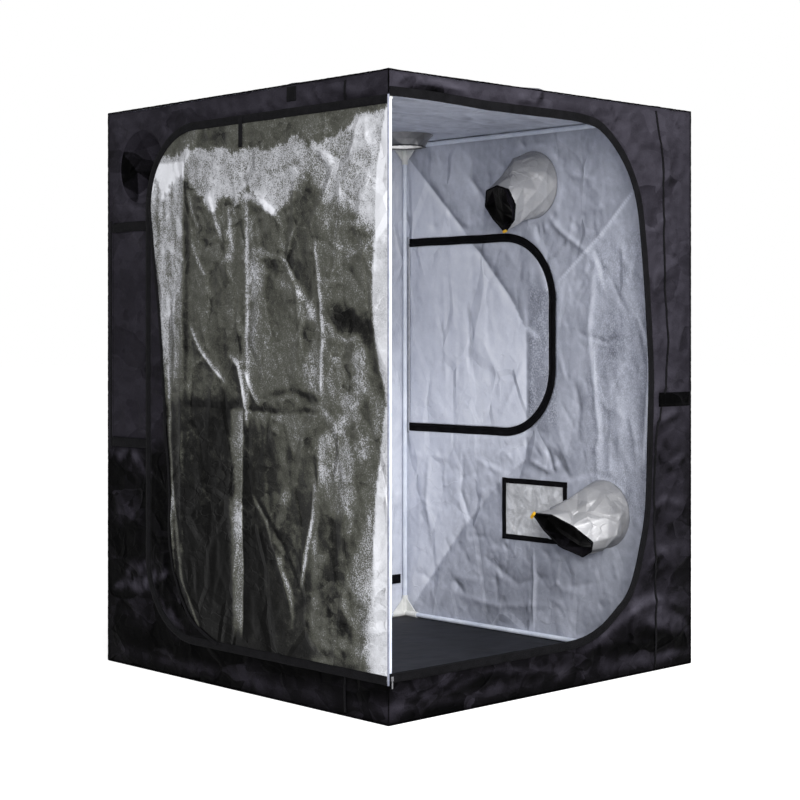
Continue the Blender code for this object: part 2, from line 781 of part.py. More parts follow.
def sleeve_spot(form, share, angle, thin):
    """A point of the sleeve's cloth: share runs from the port to the mouth, angle round the mouth.

    It is measured from the sleeve's across direction, towards up; thin moves it in by the cloth.
    """
    across = form.inward.cross(form.up)
    centre = form.base + form.inward * form.reach * share - form.up * form.drop * share**1.5
    centre += across * form.drift * share
    eased = ease(share)
    start = form.port_r + SLEEVE_LAP
    width = start + (form.mouth_width / 2 - start) * eased
    height = start + (form.mouth_height / 2 - start) * eased
    tip = max(0.0, math.cos(angle - math.radians(form.tip_angle))) ** 6
    swell = 1 + eased * (form.tip_share * tip + form.pleat_share * math.cos(form.pleats * angle))
    arm = (across * width * math.cos(angle) + form.up * height * math.sin(angle)) * swell
    turn = Quaternion().slerp(mouth_turn(form), share)
    return centre + turn @ (arm.normalized() * (arm.length - thin))


def sleeve_shape(form):
    """A thin walled cloth tube from its port to its drawn mouth."""
    shape = bmesh.new()
    skins = []
    for thin in (0.0, SLEEVE_CLOTH):
        rings = []
        for ring in range(SLEEVE_RINGS):
            share = ring / (SLEEVE_RINGS - 1)
            row = []
            for step in range(SLEEVE_AROUND):
                spot = sleeve_spot(form, share, math.tau * step / SLEEVE_AROUND, thin)
                row.append(shape.verts.new(spot))
            rings.append(row)
        skins.append(rings)
    outer, inner = skins
    for i in range(SLEEVE_AROUND):
        j = (i + 1) % SLEEVE_AROUND
        for near, far in zip(outer, outer[1:]):
            shape.faces.new((near[i], near[j], far[j]))
            shape.faces.new((near[i], far[j], far[i]))
        for near, far in zip(inner, inner[1:]):
            shape.faces.new((near[j], near[i], far[j]))
            shape.faces.new((far[j], near[i], far[i]))
        shape.faces.new((outer[0][j], outer[0][i], inner[0][i], inner[0][j]))
        shape.faces.new((outer[-1][i], outer[-1][j], inner[-1][j], inner[-1][i]))
    return shape


def lock_shape(centre, direction):
    """A cord lock: a round barrel with its spring button on the end."""
    shape = bmesh.new()
    turn = Z_AXIS.rotation_difference(direction).to_matrix().to_4x4()
    bmesh.ops.create_cone(
        shape,
        cap_ends=True,
        segments=TUBE_SIDES,
        radius1=LOCK_R,
        radius2=LOCK_R,
        depth=LOCK_LENGTH,
        matrix=Matrix.Translation(centre) @ turn,
    )
    shape.faces.ensure_lookup_table()
    end = max(shape.faces, key=lambda face: (face.calc_center_median() - centre).dot(direction))
    bmesh.ops.inset_region(shape, faces=[end], thickness=LOCK_R - LOCK_BUTTON_R)
    grown = bmesh.ops.extrude_face_region(shape, geom=[end])
    moved = [v for v in grown["geom"] if isinstance(v, bmesh.types.BMVert)]
    bmesh.ops.delete(shape, geom=[end], context="FACES_ONLY")
    bmesh.ops.translate(shape, verts=moved, vec=direction * LOCK_BUTTON_LENGTH)
    return shape


def add_lock(name, form, angle, look):
    """A cord lock just off the mouth's hem, where its cord runs on out of the sleeve."""
    rim = sleeve_spot(form, 1.0, angle, SLEEVE_CLOTH / 2)
    direction = mouth_turn(form) @ form.inward
    centre = rim + direction * (SEAT + LOCK_LENGTH / 2)
    axis = make_axis(name + "_axis", centre)
    smooth(place(name, lock_shape(centre, direction), look, axis))


def upper_sleeve():
    base = Vector((INNER_X - SEAT, UPPER_PORT_Y, UPPER_PORT_Z))
    port = (UPPER_PORT_R, UPPER_REACH, UPPER_DROP, UPPER_DRIFT)
    mouth = (UPPER_MOUTH_WIDTH, UPPER_MOUTH_HEIGHT, UPPER_TURNS)
    return Sleeve(base, -X_AXIS, Z_AXIS, *port, *mouth, UPPER_TIP_ANGLE, UPPER_TIP_SHARE, 5, 0.06)


def lower_sleeve():
    base = Vector((INNER_X - SEAT, LOWER_PORT_Y, LOWER_PORT_Z))
    port = (LOWER_PORT_R, LOWER_REACH, LOWER_DROP, LOWER_DRIFT)
    mouth = (LOWER_MOUTH_WIDTH, LOWER_MOUTH_HEIGHT, LOWER_TURNS)
    return Sleeve(base, -X_AXIS, Z_AXIS, *port, *mouth, LOWER_TIP_ANGLE, LOWER_TIP_SHARE, 7, 0.06)


def left_sleeve():
    base = Vector((-INNER_X + SEAT, LEFT_PORT_Y, LEFT_PORT_Z))
    port = (LEFT_PORT_R, LEFT_REACH, LEFT_DROP, LEFT_DRIFT)
    mouth = (LEFT_MOUTH_WIDTH, LEFT_MOUTH_HEIGHT, LEFT_TURNS)
    return Sleeve(base, X_AXIS, Z_AXIS, *port, *mouth, LEFT_TIP_ANGLE, LEFT_TIP_SHARE, 7, 0.10)


def roof_sleeve():
    base = Vector((ROOF_PORT_X, ROOF_PORT_Y, WALL_HIGH))
    port = (ROOF_PORT_R, ROOF_REACH, ROOF_DROP, ROOF_DRIFT)
    mouth = (ROOF_MOUTH_WIDTH, ROOF_MOUTH_DEPTH, ROOF_TURNS)
    return Sleeve(base, -Z_AXIS, -X_AXIS, *port, *mouth, ROOF_TIP_ANGLE, ROOF_TIP_SHARE, 6, 0.03)


def add_sleeves(silver, yellow):
    upper = upper_sleeve()
    lower = lower_sleeve()
    smooth(place("right_upper_sleeve", sleeve_shape(upper), silver), 60)
    smooth(place("right_lower_sleeve", sleeve_shape(lower), silver), 60)
    smooth(place("left_sleeve", sleeve_shape(left_sleeve()), silver), 60)
    smooth(place("roof_sleeve", sleeve_shape(roof_sleeve()), silver), 60)
    add_lock("upper_cord_lock", upper, math.radians(UPPER_TIP_ANGLE), yellow)
    spread = LOCK_SPREAD / LOWER_MOUTH_WIDTH
    tip = math.radians(LOWER_TIP_ANGLE)
    add_lock("lower_cord_lock_a", lower, tip + spread, yellow)
    add_lock("lower_cord_lock_b", lower, tip - spread, yellow)


def add_trims(tape):
    """A hanging tab on the left wall, a fastening patch on the front wall and a strap for the liner."""
    near = -HALF_X - SEAT
    top = HEIGHT - TAB_BELOW_TOP
    outline = rectangle(TAB_Y - TAB_WIDTH / 2, TAB_Y + TAB_WIDTH / 2, top - TAB_LENGTH, top)
    place("roof_edge_tab", prism(outline, "X", near - TRIM_THICKNESS, near), tape)
    near = -HALF_Y - SEAT
    outline = rectangle(PATCH_LEFT, PATCH_RIGHT, PATCH_LOW, PATCH_HIGH)
    place("front_fastening_patch", prism(outline, "Y", near - TRIM_THICKNESS, near), tape)
    near = INNER_Y - SEAT
    right = HALF_X - STRAP_FROM_CORNER
    outline = rectangle(right - STRAP_LENGTH, right, STRAP_LOW, STRAP_LOW + STRAP_WIDTH)
    place("liner_strap", prism(outline, "Y", near - TRIM_THICKNESS, near), tape)


def main():
    clear_scene()
    white = make_material("white_tube", (0.80, 0.81, 0.83), 0.35, 0.1)
    plastic = make_material("white_plastic", (0.78, 0.79, 0.79), 0.45)
    black = make_material("black_cover", (0.045, 0.043, 0.052), 0.55)
    silver = make_material("silver_lining", (0.42, 0.44, 0.48), 0.35, 0.6)
    tape = make_material("black_tape", (0.012, 0.012, 0.015), 0.75)
    grey = make_material("grey_liner", (0.032, 0.033, 0.040), 0.60)
    mesh_look = make_material("pale_screen", (0.50, 0.50, 0.52), 0.60)
    metal = make_material("slider_metal", (0.30, 0.30, 0.32), 0.35, 0.9)
    yellow = make_material("yellow_plastic", (0.75, 0.42, 0.03), 0.45)
    add_connectors(plastic)
    add_frame(white)
    add_side_walls(black)
    add_end_walls(black)
    add_roof_and_floor(black, grey)
    add_doorway_tape(tape)
    add_door(silver, tape)
    add_door_piping(tape)
    add_window("left_window", -1, black, tape)
    add_window("right_window", 1, silver, tape)
    add_sliders(metal)
    add_vent(mesh_look, tape, black)
    add_sleeves(silver, yellow)
    add_trims(tape)


main()
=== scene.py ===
"""The looks of an indoor grow tent: black cover cloth with a silver film lining over a white tube frame,
its door swung back flat on the left wall."""
import math
import random
from dataclasses import dataclass

import bmesh
import bpy
import numpy as np
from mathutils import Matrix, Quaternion, Vector, noise

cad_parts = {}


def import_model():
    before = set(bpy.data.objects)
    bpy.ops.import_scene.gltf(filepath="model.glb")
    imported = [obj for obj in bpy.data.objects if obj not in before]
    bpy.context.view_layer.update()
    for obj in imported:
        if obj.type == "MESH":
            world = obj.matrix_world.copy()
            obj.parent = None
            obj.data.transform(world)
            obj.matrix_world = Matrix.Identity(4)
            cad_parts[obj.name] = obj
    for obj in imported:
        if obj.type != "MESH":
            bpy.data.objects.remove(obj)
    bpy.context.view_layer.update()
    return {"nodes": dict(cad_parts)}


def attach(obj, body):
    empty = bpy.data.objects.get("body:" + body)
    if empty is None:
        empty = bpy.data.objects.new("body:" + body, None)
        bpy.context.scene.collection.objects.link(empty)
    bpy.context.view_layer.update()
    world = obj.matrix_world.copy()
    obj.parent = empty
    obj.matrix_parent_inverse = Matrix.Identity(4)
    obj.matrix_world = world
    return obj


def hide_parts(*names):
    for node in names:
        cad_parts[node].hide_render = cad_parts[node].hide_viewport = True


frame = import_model()

# Measures in metres, in the tent's own frame: +Z up, the doorway in the front wall at -Y
HALF = 0.75
HEIGHT = 2.0
EDGE = 0.7497  # how far the side walls and the roof reach, just short of the cover's corners
END = 0.7477  # how far the front and rear walls reach, between the side walls
INNER = 0.7481  # where the walls' inner faces lie
CLOTH = 0.0018
THIN_CLOTH = 0.0008
WALL_LOW, WALL_HIGH = 0.0023, 1.9977
WALL_STEP, RIGHT_STEP, DOOR_STEP = 0.012, 0.0082, 0.0072  # spacing of the cloth's points
WINDOW = (0.72, -0.1, 0.787, 1.595, 0.27)  # hinge, free edge, low, high, corner radius
WINDOW_INSET = 0.032  # the sheet ends this far inside the window's outline, under its tape
LEFT_FOLD_ROOM, RIGHT_FOLD_ROOM = 0.0012, 0.0026  # gap beside each window's hinge for its fold
VENT = (-0.162, 0.1815, 0.375, 0.62)  # along the wall from, to, low, high
VENT_LAP = 0.011  # how far the wall runs under the vent's tapes
VENT_FLAP = (-0.172, 0.1915, 0.365, 0.63)
VENT_GAUZE_OUT, VENT_FLAP_OUT = 0.7484, 0.7538  # how far out from the tent's middle they lie
LINER_HALF, LINER_TOP = 0.72, 0.0043
SEAM_LOW, SEAM_HIGH = 0.0034, 1.9989  # heights of the bindings along the cover's lower and upper edges

# The sleeves' ports: middle and radius
LEFT_PORT = ((0.54, 1.79), 0.13)
UPPER_PORT = ((0.024, 1.78), 0.13)
LOWER_PORT = ((-0.34, 0.51), 0.125)
ROOF_PORT = ((0.5, 0.5), 0.118)

# The open door, measured out from its hinge and up
DOOR_AXIS = Vector((-0.7639, -0.7639, 0.0))
DOOR_LENGTH = 1.2559
DOOR_LOW, DOOR_HIGH = 0.127, 1.92
DOOR_INSET = 0.006  # its cloth ends this far inside its tape
DOOR_BAND = 0.028
DOOR_CREASES = (0.316, 0.681, 1.013)
DOOR_WAVE = 1.91  # the height over which its creases lean once to and fro


def place_camera():
    lens = bpy.data.cameras.new("camera")
    lens.lens = 79.3
    lens.sensor_width = 36
    lens.shift_y = -0.0813
    camera = bpy.data.objects.new("camera", lens)
    camera.location = (-4.411, -4.661, 1.19)
    camera.rotation_euler = (math.radians(90), 0, math.radians(-43.48))
    bpy.context.scene.collection.objects.link(camera)
    bpy.context.scene.camera = camera


place_camera()
bpy.context.scene.view_settings.view_transform = "Standard"


# ---- Finishes


class Finish:
    """A material and its nodes while they are put together."""

    def __init__(self, name, roughness, metallic=0.0, specular=0.5):
        self.material = bpy.data.materials.new(name)
        self.material.use_nodes = True
        self.nodes = self.material.node_tree.nodes
        self.shader = self.nodes["Principled BSDF"]
        self.shader.inputs["Roughness"].default_value = roughness
        self.shader.inputs["Metallic"].default_value = metallic
        self.shader.inputs["Specular IOR Level"].default_value = specular
        self.places = self.nodes.new("ShaderNodeTexCoord")

    def join(self, output, socket):
        self.material.node_tree.links.new(output, socket)

    def spread(self, stretch=(1, 1, 1), turn=(0, 0, 0), own=False):
        """The piece's own places, stretched and turned; own takes them from its cut."""
        mapping = self.nodes.new("ShaderNodeMapping")
        mapping.inputs["Scale"].default_value = stretch
        mapping.inputs["Rotation"].default_value = [math.radians(a) for a in turn]
        self.join(self.places.outputs["UV" if own else "Object"], mapping.inputs["Vector"])
        return mapping.outputs[0]

    def noise(self, scale, detail=3.0, rough=0.5, twist=0.0, ridged=False):
        grain = self.nodes.new("ShaderNodeTexNoise")
        grain.inputs["Scale"].default_value = scale
        grain.inputs["Detail"].default_value = detail
        grain.inputs["Roughness"].default_value = rough
        grain.inputs["Distortion"].default_value = twist
        self.join(self.places.outputs["Object"], grain.inputs["Vector"])
        if not ridged:
            return grain.outputs[0]
        return self.maths("ABSOLUTE", self.maths("SUBTRACT", grain.outputs[0], 0.5))

    def wave(self, scale, where, direction, twist=0.0):
        wave = self.nodes.new("ShaderNodeTexWave")
        wave.bands_direction = direction
        wave.wave_profile = "SIN"
        wave.inputs["Scale"].default_value = scale
        wave.inputs["Distortion"].default_value = twist
        self.join(where, wave.inputs["Vector"])
        return wave.outputs["Fac"]

    def maths(self, kind, first, second=None, clamp=False):
        node = self.nodes.new("ShaderNodeMath")
        node.operation = kind
        node.use_clamp = clamp
        for socket, value in zip(node.inputs, (first, second)):
            if isinstance(value, (int, float)):
                socket.default_value = value
            elif value is not None:
                self.join(value, socket)
        return node.outputs[0]

    def add(self, first, second, clamp=False):
        return self.maths("ADD", first, second, clamp)

    def times(self, first, second):
        return self.maths("MULTIPLY", first, second)

    def vectors(self, kind, first, second):
        node = self.nodes.new("ShaderNodeVectorMath")
        node.operation = kind
        for socket, value in zip(node.inputs, (first, second)):
            if isinstance(value, tuple):
                socket.default_value = value
            else:
                self.join(value, socket)
        return node.outputs["Value" if kind == "DOT_PRODUCT" else "Vector"]

    def crushed(self, scale, where, warp):
        """Flat patches with straight creases: each one's tone, tilted height and nearness to a crease."""
        sway = self.nodes.new("ShaderNodeTexNoise")
        sway.inputs["Scale"].default_value = scale * 0.6
        self.join(where, sway.inputs["Vector"])
        drift = self.vectors("SUBTRACT", sway.outputs["Color"], (0.5, 0.5, 0.5))
        place = self.vectors("ADD", where, self.vectors("MULTIPLY", drift, (warp, warp, warp)))
        found = []
        for feature in ("F1", "DISTANCE_TO_EDGE"):
            node = self.nodes.new("ShaderNodeTexVoronoi")
            node.feature = feature
            node.inputs["Scale"].default_value = scale
            self.join(place, node.inputs["Vector"])
            found.append(node)
        patch, edge = found
        away = self.vectors("SUBTRACT", place, patch.outputs["Position"])
        lean = self.vectors("SUBTRACT", patch.outputs["Color"], (0.5, 0.5, 0.5))
        tilt = self.times(self.vectors("DOT_PRODUCT", away, lean), scale)
        tilt = self.times(tilt, self.spans(edge.outputs["Distance"], 0.0, 0.1))
        tone = self.vectors("DOT_PRODUCT", lean, (1.0, 0.6, 0.4))
        return tone, tilt, self.spans(edge.outputs["Distance"], 0.0, 0.035, 1.0, 0.0)

    def painted(self, name):
        """A value that is kept with the piece's points."""
        node = self.nodes.new("ShaderNodeAttribute")
        node.attribute_name = name
        return node.outputs["Fac"]

    def ramp(self, value, stops):
        node = self.nodes.new("ShaderNodeValToRGB")
        points = node.color_ramp.elements
        while len(points) < len(stops):
            points.new(0.5)
        for point, (spot, colour) in zip(points, stops):
            point.position = spot
            point.color = (*colour, 1.0)
        self.join(value, node.inputs[0])
        return node.outputs[0]

    def spans(self, value, low, high, to_low=0.0, to_high=1.0):
        node = self.nodes.new("ShaderNodeMapRange")
        for socket, number in zip(node.inputs[1:5], (low, high, to_low, to_high)):
            socket.default_value = number
        self.join(value, node.inputs[0])
        return node.outputs[0]

    def bump(self, value, strength, depth, under=None):
        node = self.nodes.new("ShaderNodeBump")
        node.inputs["Strength"].default_value = strength
        node.inputs["Distance"].default_value = depth
        self.join(value, node.inputs["Height"])
        if under:
            self.join(under, node.inputs["Normal"])
        return node.outputs[0]

    def wear(self, colour, normal=None, roughness=None):
        self.join(colour, self.shader.inputs["Base Color"])
        if normal:
            self.join(normal, self.shader.inputs["Normal"])
        if roughness:
            self.join(roughness, self.shader.inputs["Roughness"])
        return self.material


def black_nylon():
    """Coated black cloth with a soft painted sheen and painted shade in its colour, creased in transit, the more the
    lower it hangs.
    """
    cloth = Finish("black_nylon", 0.5, specular=0.012)
    tone = cloth.painted("nylon_tone_and_painted_light")
    cloud = cloth.noise(7.0, 5.0, 0.6)
    mix = cloth.add(tone, cloth.spans(cloud, 0.3, 0.7, -0.05, 0.05))
    loose = cloth.spans(tone, 0.45, 0.05, 0.1, 0.36)
    level, tilt, _ = cloth.crushed(7.0, cloth.spread((1.0, 1.0, 1.5), (20, 15, 0)), 0.2)
    small, lean, crease = cloth.crushed(24.0, cloth.spread((0.8, 0.8, 1.2), (-15, 25, 0)), 0.07)
    # Painted shading: each crease facet is made lighter or darker and shaded across its tilt, the more where the
    # painted tone is dark
    mix = cloth.add(mix, cloth.times(cloth.add(level, tilt), loose))
    mix = cloth.add(mix, cloth.times(cloth.add(small, lean), cloth.times(loose, 0.6)))
    # Painted glints along some of the creases
    painted_crease_glints = cloth.times(crease, cloth.spans(cloth.noise(6.0, 3.0), 0.5, 0.62, 0.0, 0.03))
    mix = cloth.add(mix, painted_crease_glints)
    fibre = cloth.spans(cloth.noise(420.0, 2.0), 0.3, 0.7, -0.07, 0.07)
    mix = cloth.add(mix, fibre, clamp=True)
    colour = cloth.ramp(mix, NYLON_STOPS)
    normal = cloth.bump(cloth.noise(900.0, 1.0), 0.25, 0.0004)
    normal = cloth.bump(lean, 0.5, 0.004, normal)
    normal = cloth.bump(tilt, 0.8, 0.012, normal)
    return cloth.wear(colour, normal, cloth.spans(cloud, 0.3, 0.7, 0.42, 0.62))


def silver_film(
    name, stops, roughness, metallic, specular, speckle, patches, lay, depth, glints=0.0, sparkle=0.0
):
    """Metallised film: satin, with a fine woven speckle that is livelier where it is bright, and painted light in its
    colour.

    Speckle is its strength where the film is dark and where it is bright. Patches gives how much the painted shading
    of the large and small crumples' facets changes the tone, lay makes each kind longer up and down below 1 and across
    above 1, and depth is how far they stand off the cloth. Glints are painted highlights on the sharpest creases,
    sparkle adds painted bright dots that are denser where the film is bright, and the piece's painted tone and glint
    mask add painted reflections and coarser painted glints.
    """
    film = Finish(name, roughness, metallic, specular)
    tone = film.painted("film_tone_and_painted_light")
    cloud = film.spans(film.noise(11.0, 5.0, 0.6, 0.6), 0.3, 0.7, -0.03, 0.03)
    level, tilt, edge = film.crushed(7.0, film.spread((1.0, 1.0, lay[0]), (24, 0, 0)), 0.06)
    small, lean, crease = film.crushed(22.0, film.spread((1.0, 1.0, lay[1]), (-28, 0, 0)), 0.07)
    busy = film.spans(film.noise(4.5, 3.0, 0.6), 0.42, 0.6, 0.1, 1.0)
    # Painted shading of the crumples' facets
    broad = film.add(film.times(level, 0.4), tilt)
    fine = film.times(film.add(film.times(small, 0.4), lean), busy)
    mix = film.add(film.add(tone, cloud), film.times(broad, patches[0]))
    mix = film.add(mix, film.times(fine, patches[1]), clamp=True)
    if glints:
        # Painted highlights along the creases, only where the painted tone is bright enough
        first = film.times(edge, film.spans(film.noise(9.0, 3.0, 0.6), 0.54, 0.62))
        second = film.times(crease, film.spans(film.noise(13.0, 3.0, 0.6, 0.5), 0.53, 0.6))
        both = film.maths("MAXIMUM", film.times(first, 0.8), second)
        both = film.times(both, film.spans(tone, 0.12, 0.32))
        mix = film.add(mix, film.times(both, glints), clamp=True)
    grain = film.spans(film.noise(300.0, 2.0, 0.7), 0.34, 0.66, -1.0, 1.0)
    lively = film.spans(mix, 0.1, 0.8, speckle[0], speckle[1])
    lively = film.times(lively, film.spans(mix, 0.78, 0.92, 1.0, 0.12))
    mix = film.add(mix, film.times(grain, lively))
    if sparkle:
        # Painted sparkle: bright dots, denser where the film is painted bright
        dense = film.spans(mix, 0.24, 0.8)
        dots = film.noise(250.0, 1.0)
        dots = film.spans(film.add(dots, film.times(dense, 0.3)), 0.56, 0.78)
        dots = film.maths("SUBTRACT", dots, film.add(film.times(dense, 0.7), 0.15))
        faint = film.spans(dense, 0.0, 0.4, 0.25, 1.0)
        strong = film.times(faint, film.spans(dense, 0.8, 1.0, 1.0, 0.12))
        mix = film.add(mix, film.times(dots, film.times(strong, sparkle)))
    # Coarser painted glints where the piece's glint mask asks for them
    coarse = film.spans(film.noise(150.0, 2.0, 0.8), 0.44, 0.66, -0.25, 1.0)
    mix = film.add(mix, film.times(coarse, film.painted("painted_glint_mask")), clamp=True)
    colour = film.ramp(mix, stops)
    normal = film.bump(film.noise(480.0, 2.0), 0.15, 0.0012)
    normal = film.bump(film.times(lean, busy), 0.8, depth[1], normal)
    normal = film.bump(tilt, 0.8, depth[0], normal)
    return film.wear(colour, normal)


def webbing():
    """Black woven tape with a stitch line near each edge. Its cut runs along it, then across."""
    tape = Finish("black_webbing", 0.8, specular=0.06)
    along = tape.spread((1, 1, 1), own=True)
    split = tape.nodes.new("ShaderNodeSeparateXYZ")
    tape.join(along, split.inputs[0])
    twill = tape.wave(260.0, tape.spread((1, 1, 1), (0, 0, 38), own=True), "X")
    stitch = tape.maths("GREATER_THAN", tape.maths("SINE", tape.times(split.outputs[0], 1500.0)), -0.2)
    away = tape.maths("ABSOLUTE", tape.maths("SUBTRACT", tape.maths("ABSOLUTE", split.outputs[1]), 1.0))
    near = tape.maths("LESS_THAN", away, 0.0006)
    thread = tape.times(stitch, near)
    cloud = tape.spans(tape.noise(30.0, 4.0), 0.3, 0.7, 0.0, 0.5)
    value = tape.add(tape.times(twill, 0.25), cloud)
    value = tape.add(value, tape.times(thread, 0.5), clamp=True)
    colour = tape.ramp(value, TAPE_STOPS)
    normal = tape.bump(twill, 0.5, 0.0004)
    normal = tape.bump(thread, 0.6, 0.0006, normal)
    normal = tape.bump(tape.noise(40.0, 3.0), 0.4, 0.004, normal)
    return tape.wear(colour, normal)


def plain_finish(name, low, high, roughness, metallic=0.0, scale=60.0, depth=0.0006, specular=0.5):
    """A smooth finish with small changes of tone and surface."""
    coat = Finish(name, roughness, metallic, specular)
    cloud = coat.noise(scale, 4.0, 0.6)
    colour = coat.ramp(coat.spans(cloud, 0.3, 0.7), [(0.0, low), (1.0, high)])
    normal = coat.bump(coat.noise(scale * 6, 3.0), 0.25, depth)
    shine = coat.spans(cloud, 0.3, 0.7, roughness - 0.06, roughness + 0.08)
    return coat.wear(colour, normal, shine)


def vent_gauze():
    """Pale gauze with a fine square mesh, limp and wrinkled."""
    gauze = Finish("vent_gauze", 0.55, specular=0.4)
    across = gauze.wave(150.0, gauze.spread(), "Y")
    down = gauze.wave(150.0, gauze.spread(), "Z")
    net = gauze.times(across, down)
    cloud = gauze.noise(16.0, 4.0, 0.6, 1.2)
    value = gauze.add(gauze.spans(cloud, 0.3, 0.7, 0.1, 0.9), gauze.times(net, 0.15))
    colour = gauze.ramp(value, GAUZE_STOPS)
    normal = gauze.bump(net, 0.2, 0.0005)
    normal = gauze.bump(gauze.noise(22.0, 5.0, 0.6, 1.0, ridged=True), 0.6, 0.008, normal)
    return gauze.wear(colour, normal)


def liner_cloth():
    """Dark coated floor liner with shallow lengthwise ribs."""
    liner = Finish("grey_liner", 0.62, specular=0.12)
    ribs = liner.wave(9.0, liner.spread(), "Y", twist=0.4)
    cloud = liner.noise(6.0, 5.0, 0.6)
    value = liner.add(liner.spans(cloud, 0.3, 0.7, 0.1, 0.8), liner.times(ribs, 0.12))
    colour = liner.ramp(value, LINER_STOPS)
    normal = liner.bump(liner.noise(500.0, 2.0), 0.2, 0.0005)
    normal = liner.bump(liner.noise(8.0, 4.0, 0.6, 0.5, ridged=True), 0.3, 0.008, normal)
    return liner.wear(colour, normal)


# The finishes' colours, from their darkest to their palest places
NYLON_STOPS = [
    (0.0, (0.0003, 0.0003, 0.0004)),
    (0.25, (0.0034, 0.0031, 0.004)),
    (0.5, (0.0165, 0.015, 0.02)),
    (1.0, (0.06, 0.056, 0.072)),
]
WALL_STOPS = [
    (0.0, (0.085, 0.092, 0.112)),
    (0.3, (0.345, 0.362, 0.425)),
    (0.6, (0.61, 0.635, 0.72)),
    (1.0, (0.84, 0.86, 0.92)),
]
# The door's lining is the walls' film, given darker colours as a painted reflection of the dark surroundings it faces
DOOR_STOPS = [
    (0.0, (0.002, 0.002, 0.002)),
    (0.12, (0.014, 0.014, 0.013)),
    (0.25, (0.06, 0.061, 0.051)),
    (0.48, (0.135, 0.137, 0.129)),
    (0.72, (0.29, 0.295, 0.315)),
    (1.0, (0.64, 0.65, 0.69)),
]
SLEEVE_STOPS = [(0.0, (0.06, 0.06, 0.065)), (0.5, (0.34, 0.34, 0.35)), (1.0, (0.8, 0.8, 0.82))]
GAUZE_STOPS = [(0.0, (0.34, 0.345, 0.36)), (0.5, (0.52, 0.525, 0.54)), (1.0, (0.8, 0.81, 0.84))]
TAPE_STOPS = [(0.0, (0.0012, 0.0012, 0.0016)), (1.0, (0.0075, 0.0072, 0.0088))]
LINER_STOPS = [(0.0, (0.005, 0.0053, 0.0068)), (1.0, (0.02, 0.0205, 0.026))]

nylon = black_nylon()
wall_film = silver_film(
    "wall_film", WALL_STOPS, 0.5, 0.0, 0.35, speckle=(0.02, 0.06), patches=(0.1, 0.05),
    lay=(0.5, 0.8), depth=(0.024, 0.003),
)
# The door's lining: painted darker than the walls' as a painted reflection, with painted glints and sparkle
door_film_painted_reflection = silver_film(
    "door_film_painted_reflection", DOOR_STOPS, 0.42, 0.3, 0.04, speckle=(0.04, 0.12), patches=(0.2, 0.22),
    lay=(0.6, 1.6), depth=(0.03, 0.008), glints=0.18, sparkle=0.44,
)
sleeve_film = silver_film(
    "sleeve_film", SLEEVE_STOPS, 0.42, 0.2, 0.35, speckle=(0.01, 0.03), patches=(0.04, 0.03),
    lay=(1.0, 1.0), depth=(0.03, 0.008),
)
tape_look = webbing()
hinge_look = plain_finish("silver_binding", (0.3, 0.315, 0.37), (0.5, 0.515, 0.57), 0.45, depth=0.002)
hem_look = plain_finish(
    "silver_hem", (0.13, 0.14, 0.185), (0.24, 0.25, 0.31), 0.5, scale=50.0, depth=0.001, specular=0.3
)
zip_look = plain_finish(
    "zip_coil", (0.002, 0.002, 0.0025), (0.008, 0.008, 0.0095), 0.6, scale=200.0, specular=0.06
)
gauze_look = vent_gauze()
liner_look = liner_cloth()
# White enamel; its bluish grey tint is painted shade, standing in for the blue shade on the tubes
tube_look = plain_finish("white_enamel", (0.56, 0.61, 0.72), (0.78, 0.82, 0.9), 0.32, scale=14.0)
joint_look = plain_finish("white_moulding", (0.66, 0.67, 0.64), (0.8, 0.8, 0.78), 0.45, scale=40.0)
lock_look = plain_finish("amber_moulding", (0.62, 0.33, 0.012), (0.86, 0.52, 0.03), 0.38, scale=90.0)
slider_look = plain_finish("dark_zinc", (0.1, 0.1, 0.11), (0.24, 0.24, 0.25), 0.34, 0.85, scale=120.0)


# ---- How cloth stands off its flat


def eased(value):
    value = np.clip(value, 0.0, 1.0)
    return value * value * (3 - 2 * value)


def past(value, edge, soft):
    """0 up to an edge, easing to 1 within soft beyond it."""
    return eased((value - edge) / soft)


def before(value, edge, soft):
    """0 from an edge on, easing to 1 within soft before it."""
    return eased((edge - value) / soft)


def rolling(a, b, size, seed, depth=4, stretch=1.0):
    """Soft swells about as long as size, from about -1 to 1."""
    spots = zip(np.ravel(a) / size, np.ravel(b) / (size * stretch))
    values = [noise.fractal(Vector((x, y, seed)), 1.0, 2.0, depth) for x, y in spots]
    return np.array(values).reshape(np.shape(a))


def crumpled(a, b, size, seed, depth=3, stretch=1.0):
    """Sharp folds between soft hollows, from 0 to 1."""
    return np.clip(1 - 2.4 * np.abs(rolling(a, b, size, seed, depth, stretch)), 0.0, 1.0) ** 2


def from_line(a, b, line):
    """How far each place is from a drawn line, and its share of the line's length."""
    far, share = np.full(np.shape(a), 9.0), np.zeros(np.shape(a))
    lengths = [math.dist(p, q) for p, q in zip(line, line[1:])]
    run = 0.0
    for (p, q), length in zip(zip(line, line[1:]), lengths):
        step_a, step_b = q[0] - p[0], q[1] - p[1]
        t = np.clip(((a - p[0]) * step_a + (b - p[1]) * step_b) / length**2, 0.0, 1.0)
        off = np.hypot(a - p[0] - t * step_a, b - p[1] - t * step_b)
        share = np.where(off < far, (run + t * length) / sum(lengths), share)
        far = np.minimum(off, far)
        run += length
    return far, share


def drawn(a, b, strokes):
    """Adds up strokes: each a line, its width and its strength, fading out at both its ends."""
    total = np.zeros(np.shape(a))
    for line, width, strength in strokes:
        far, share = from_line(a, b, line)
        ends = eased(np.minimum(share, 1 - share) * 6 + 0.35)
        total += strength * ends * np.exp(-((far / width) ** 2))
    return total


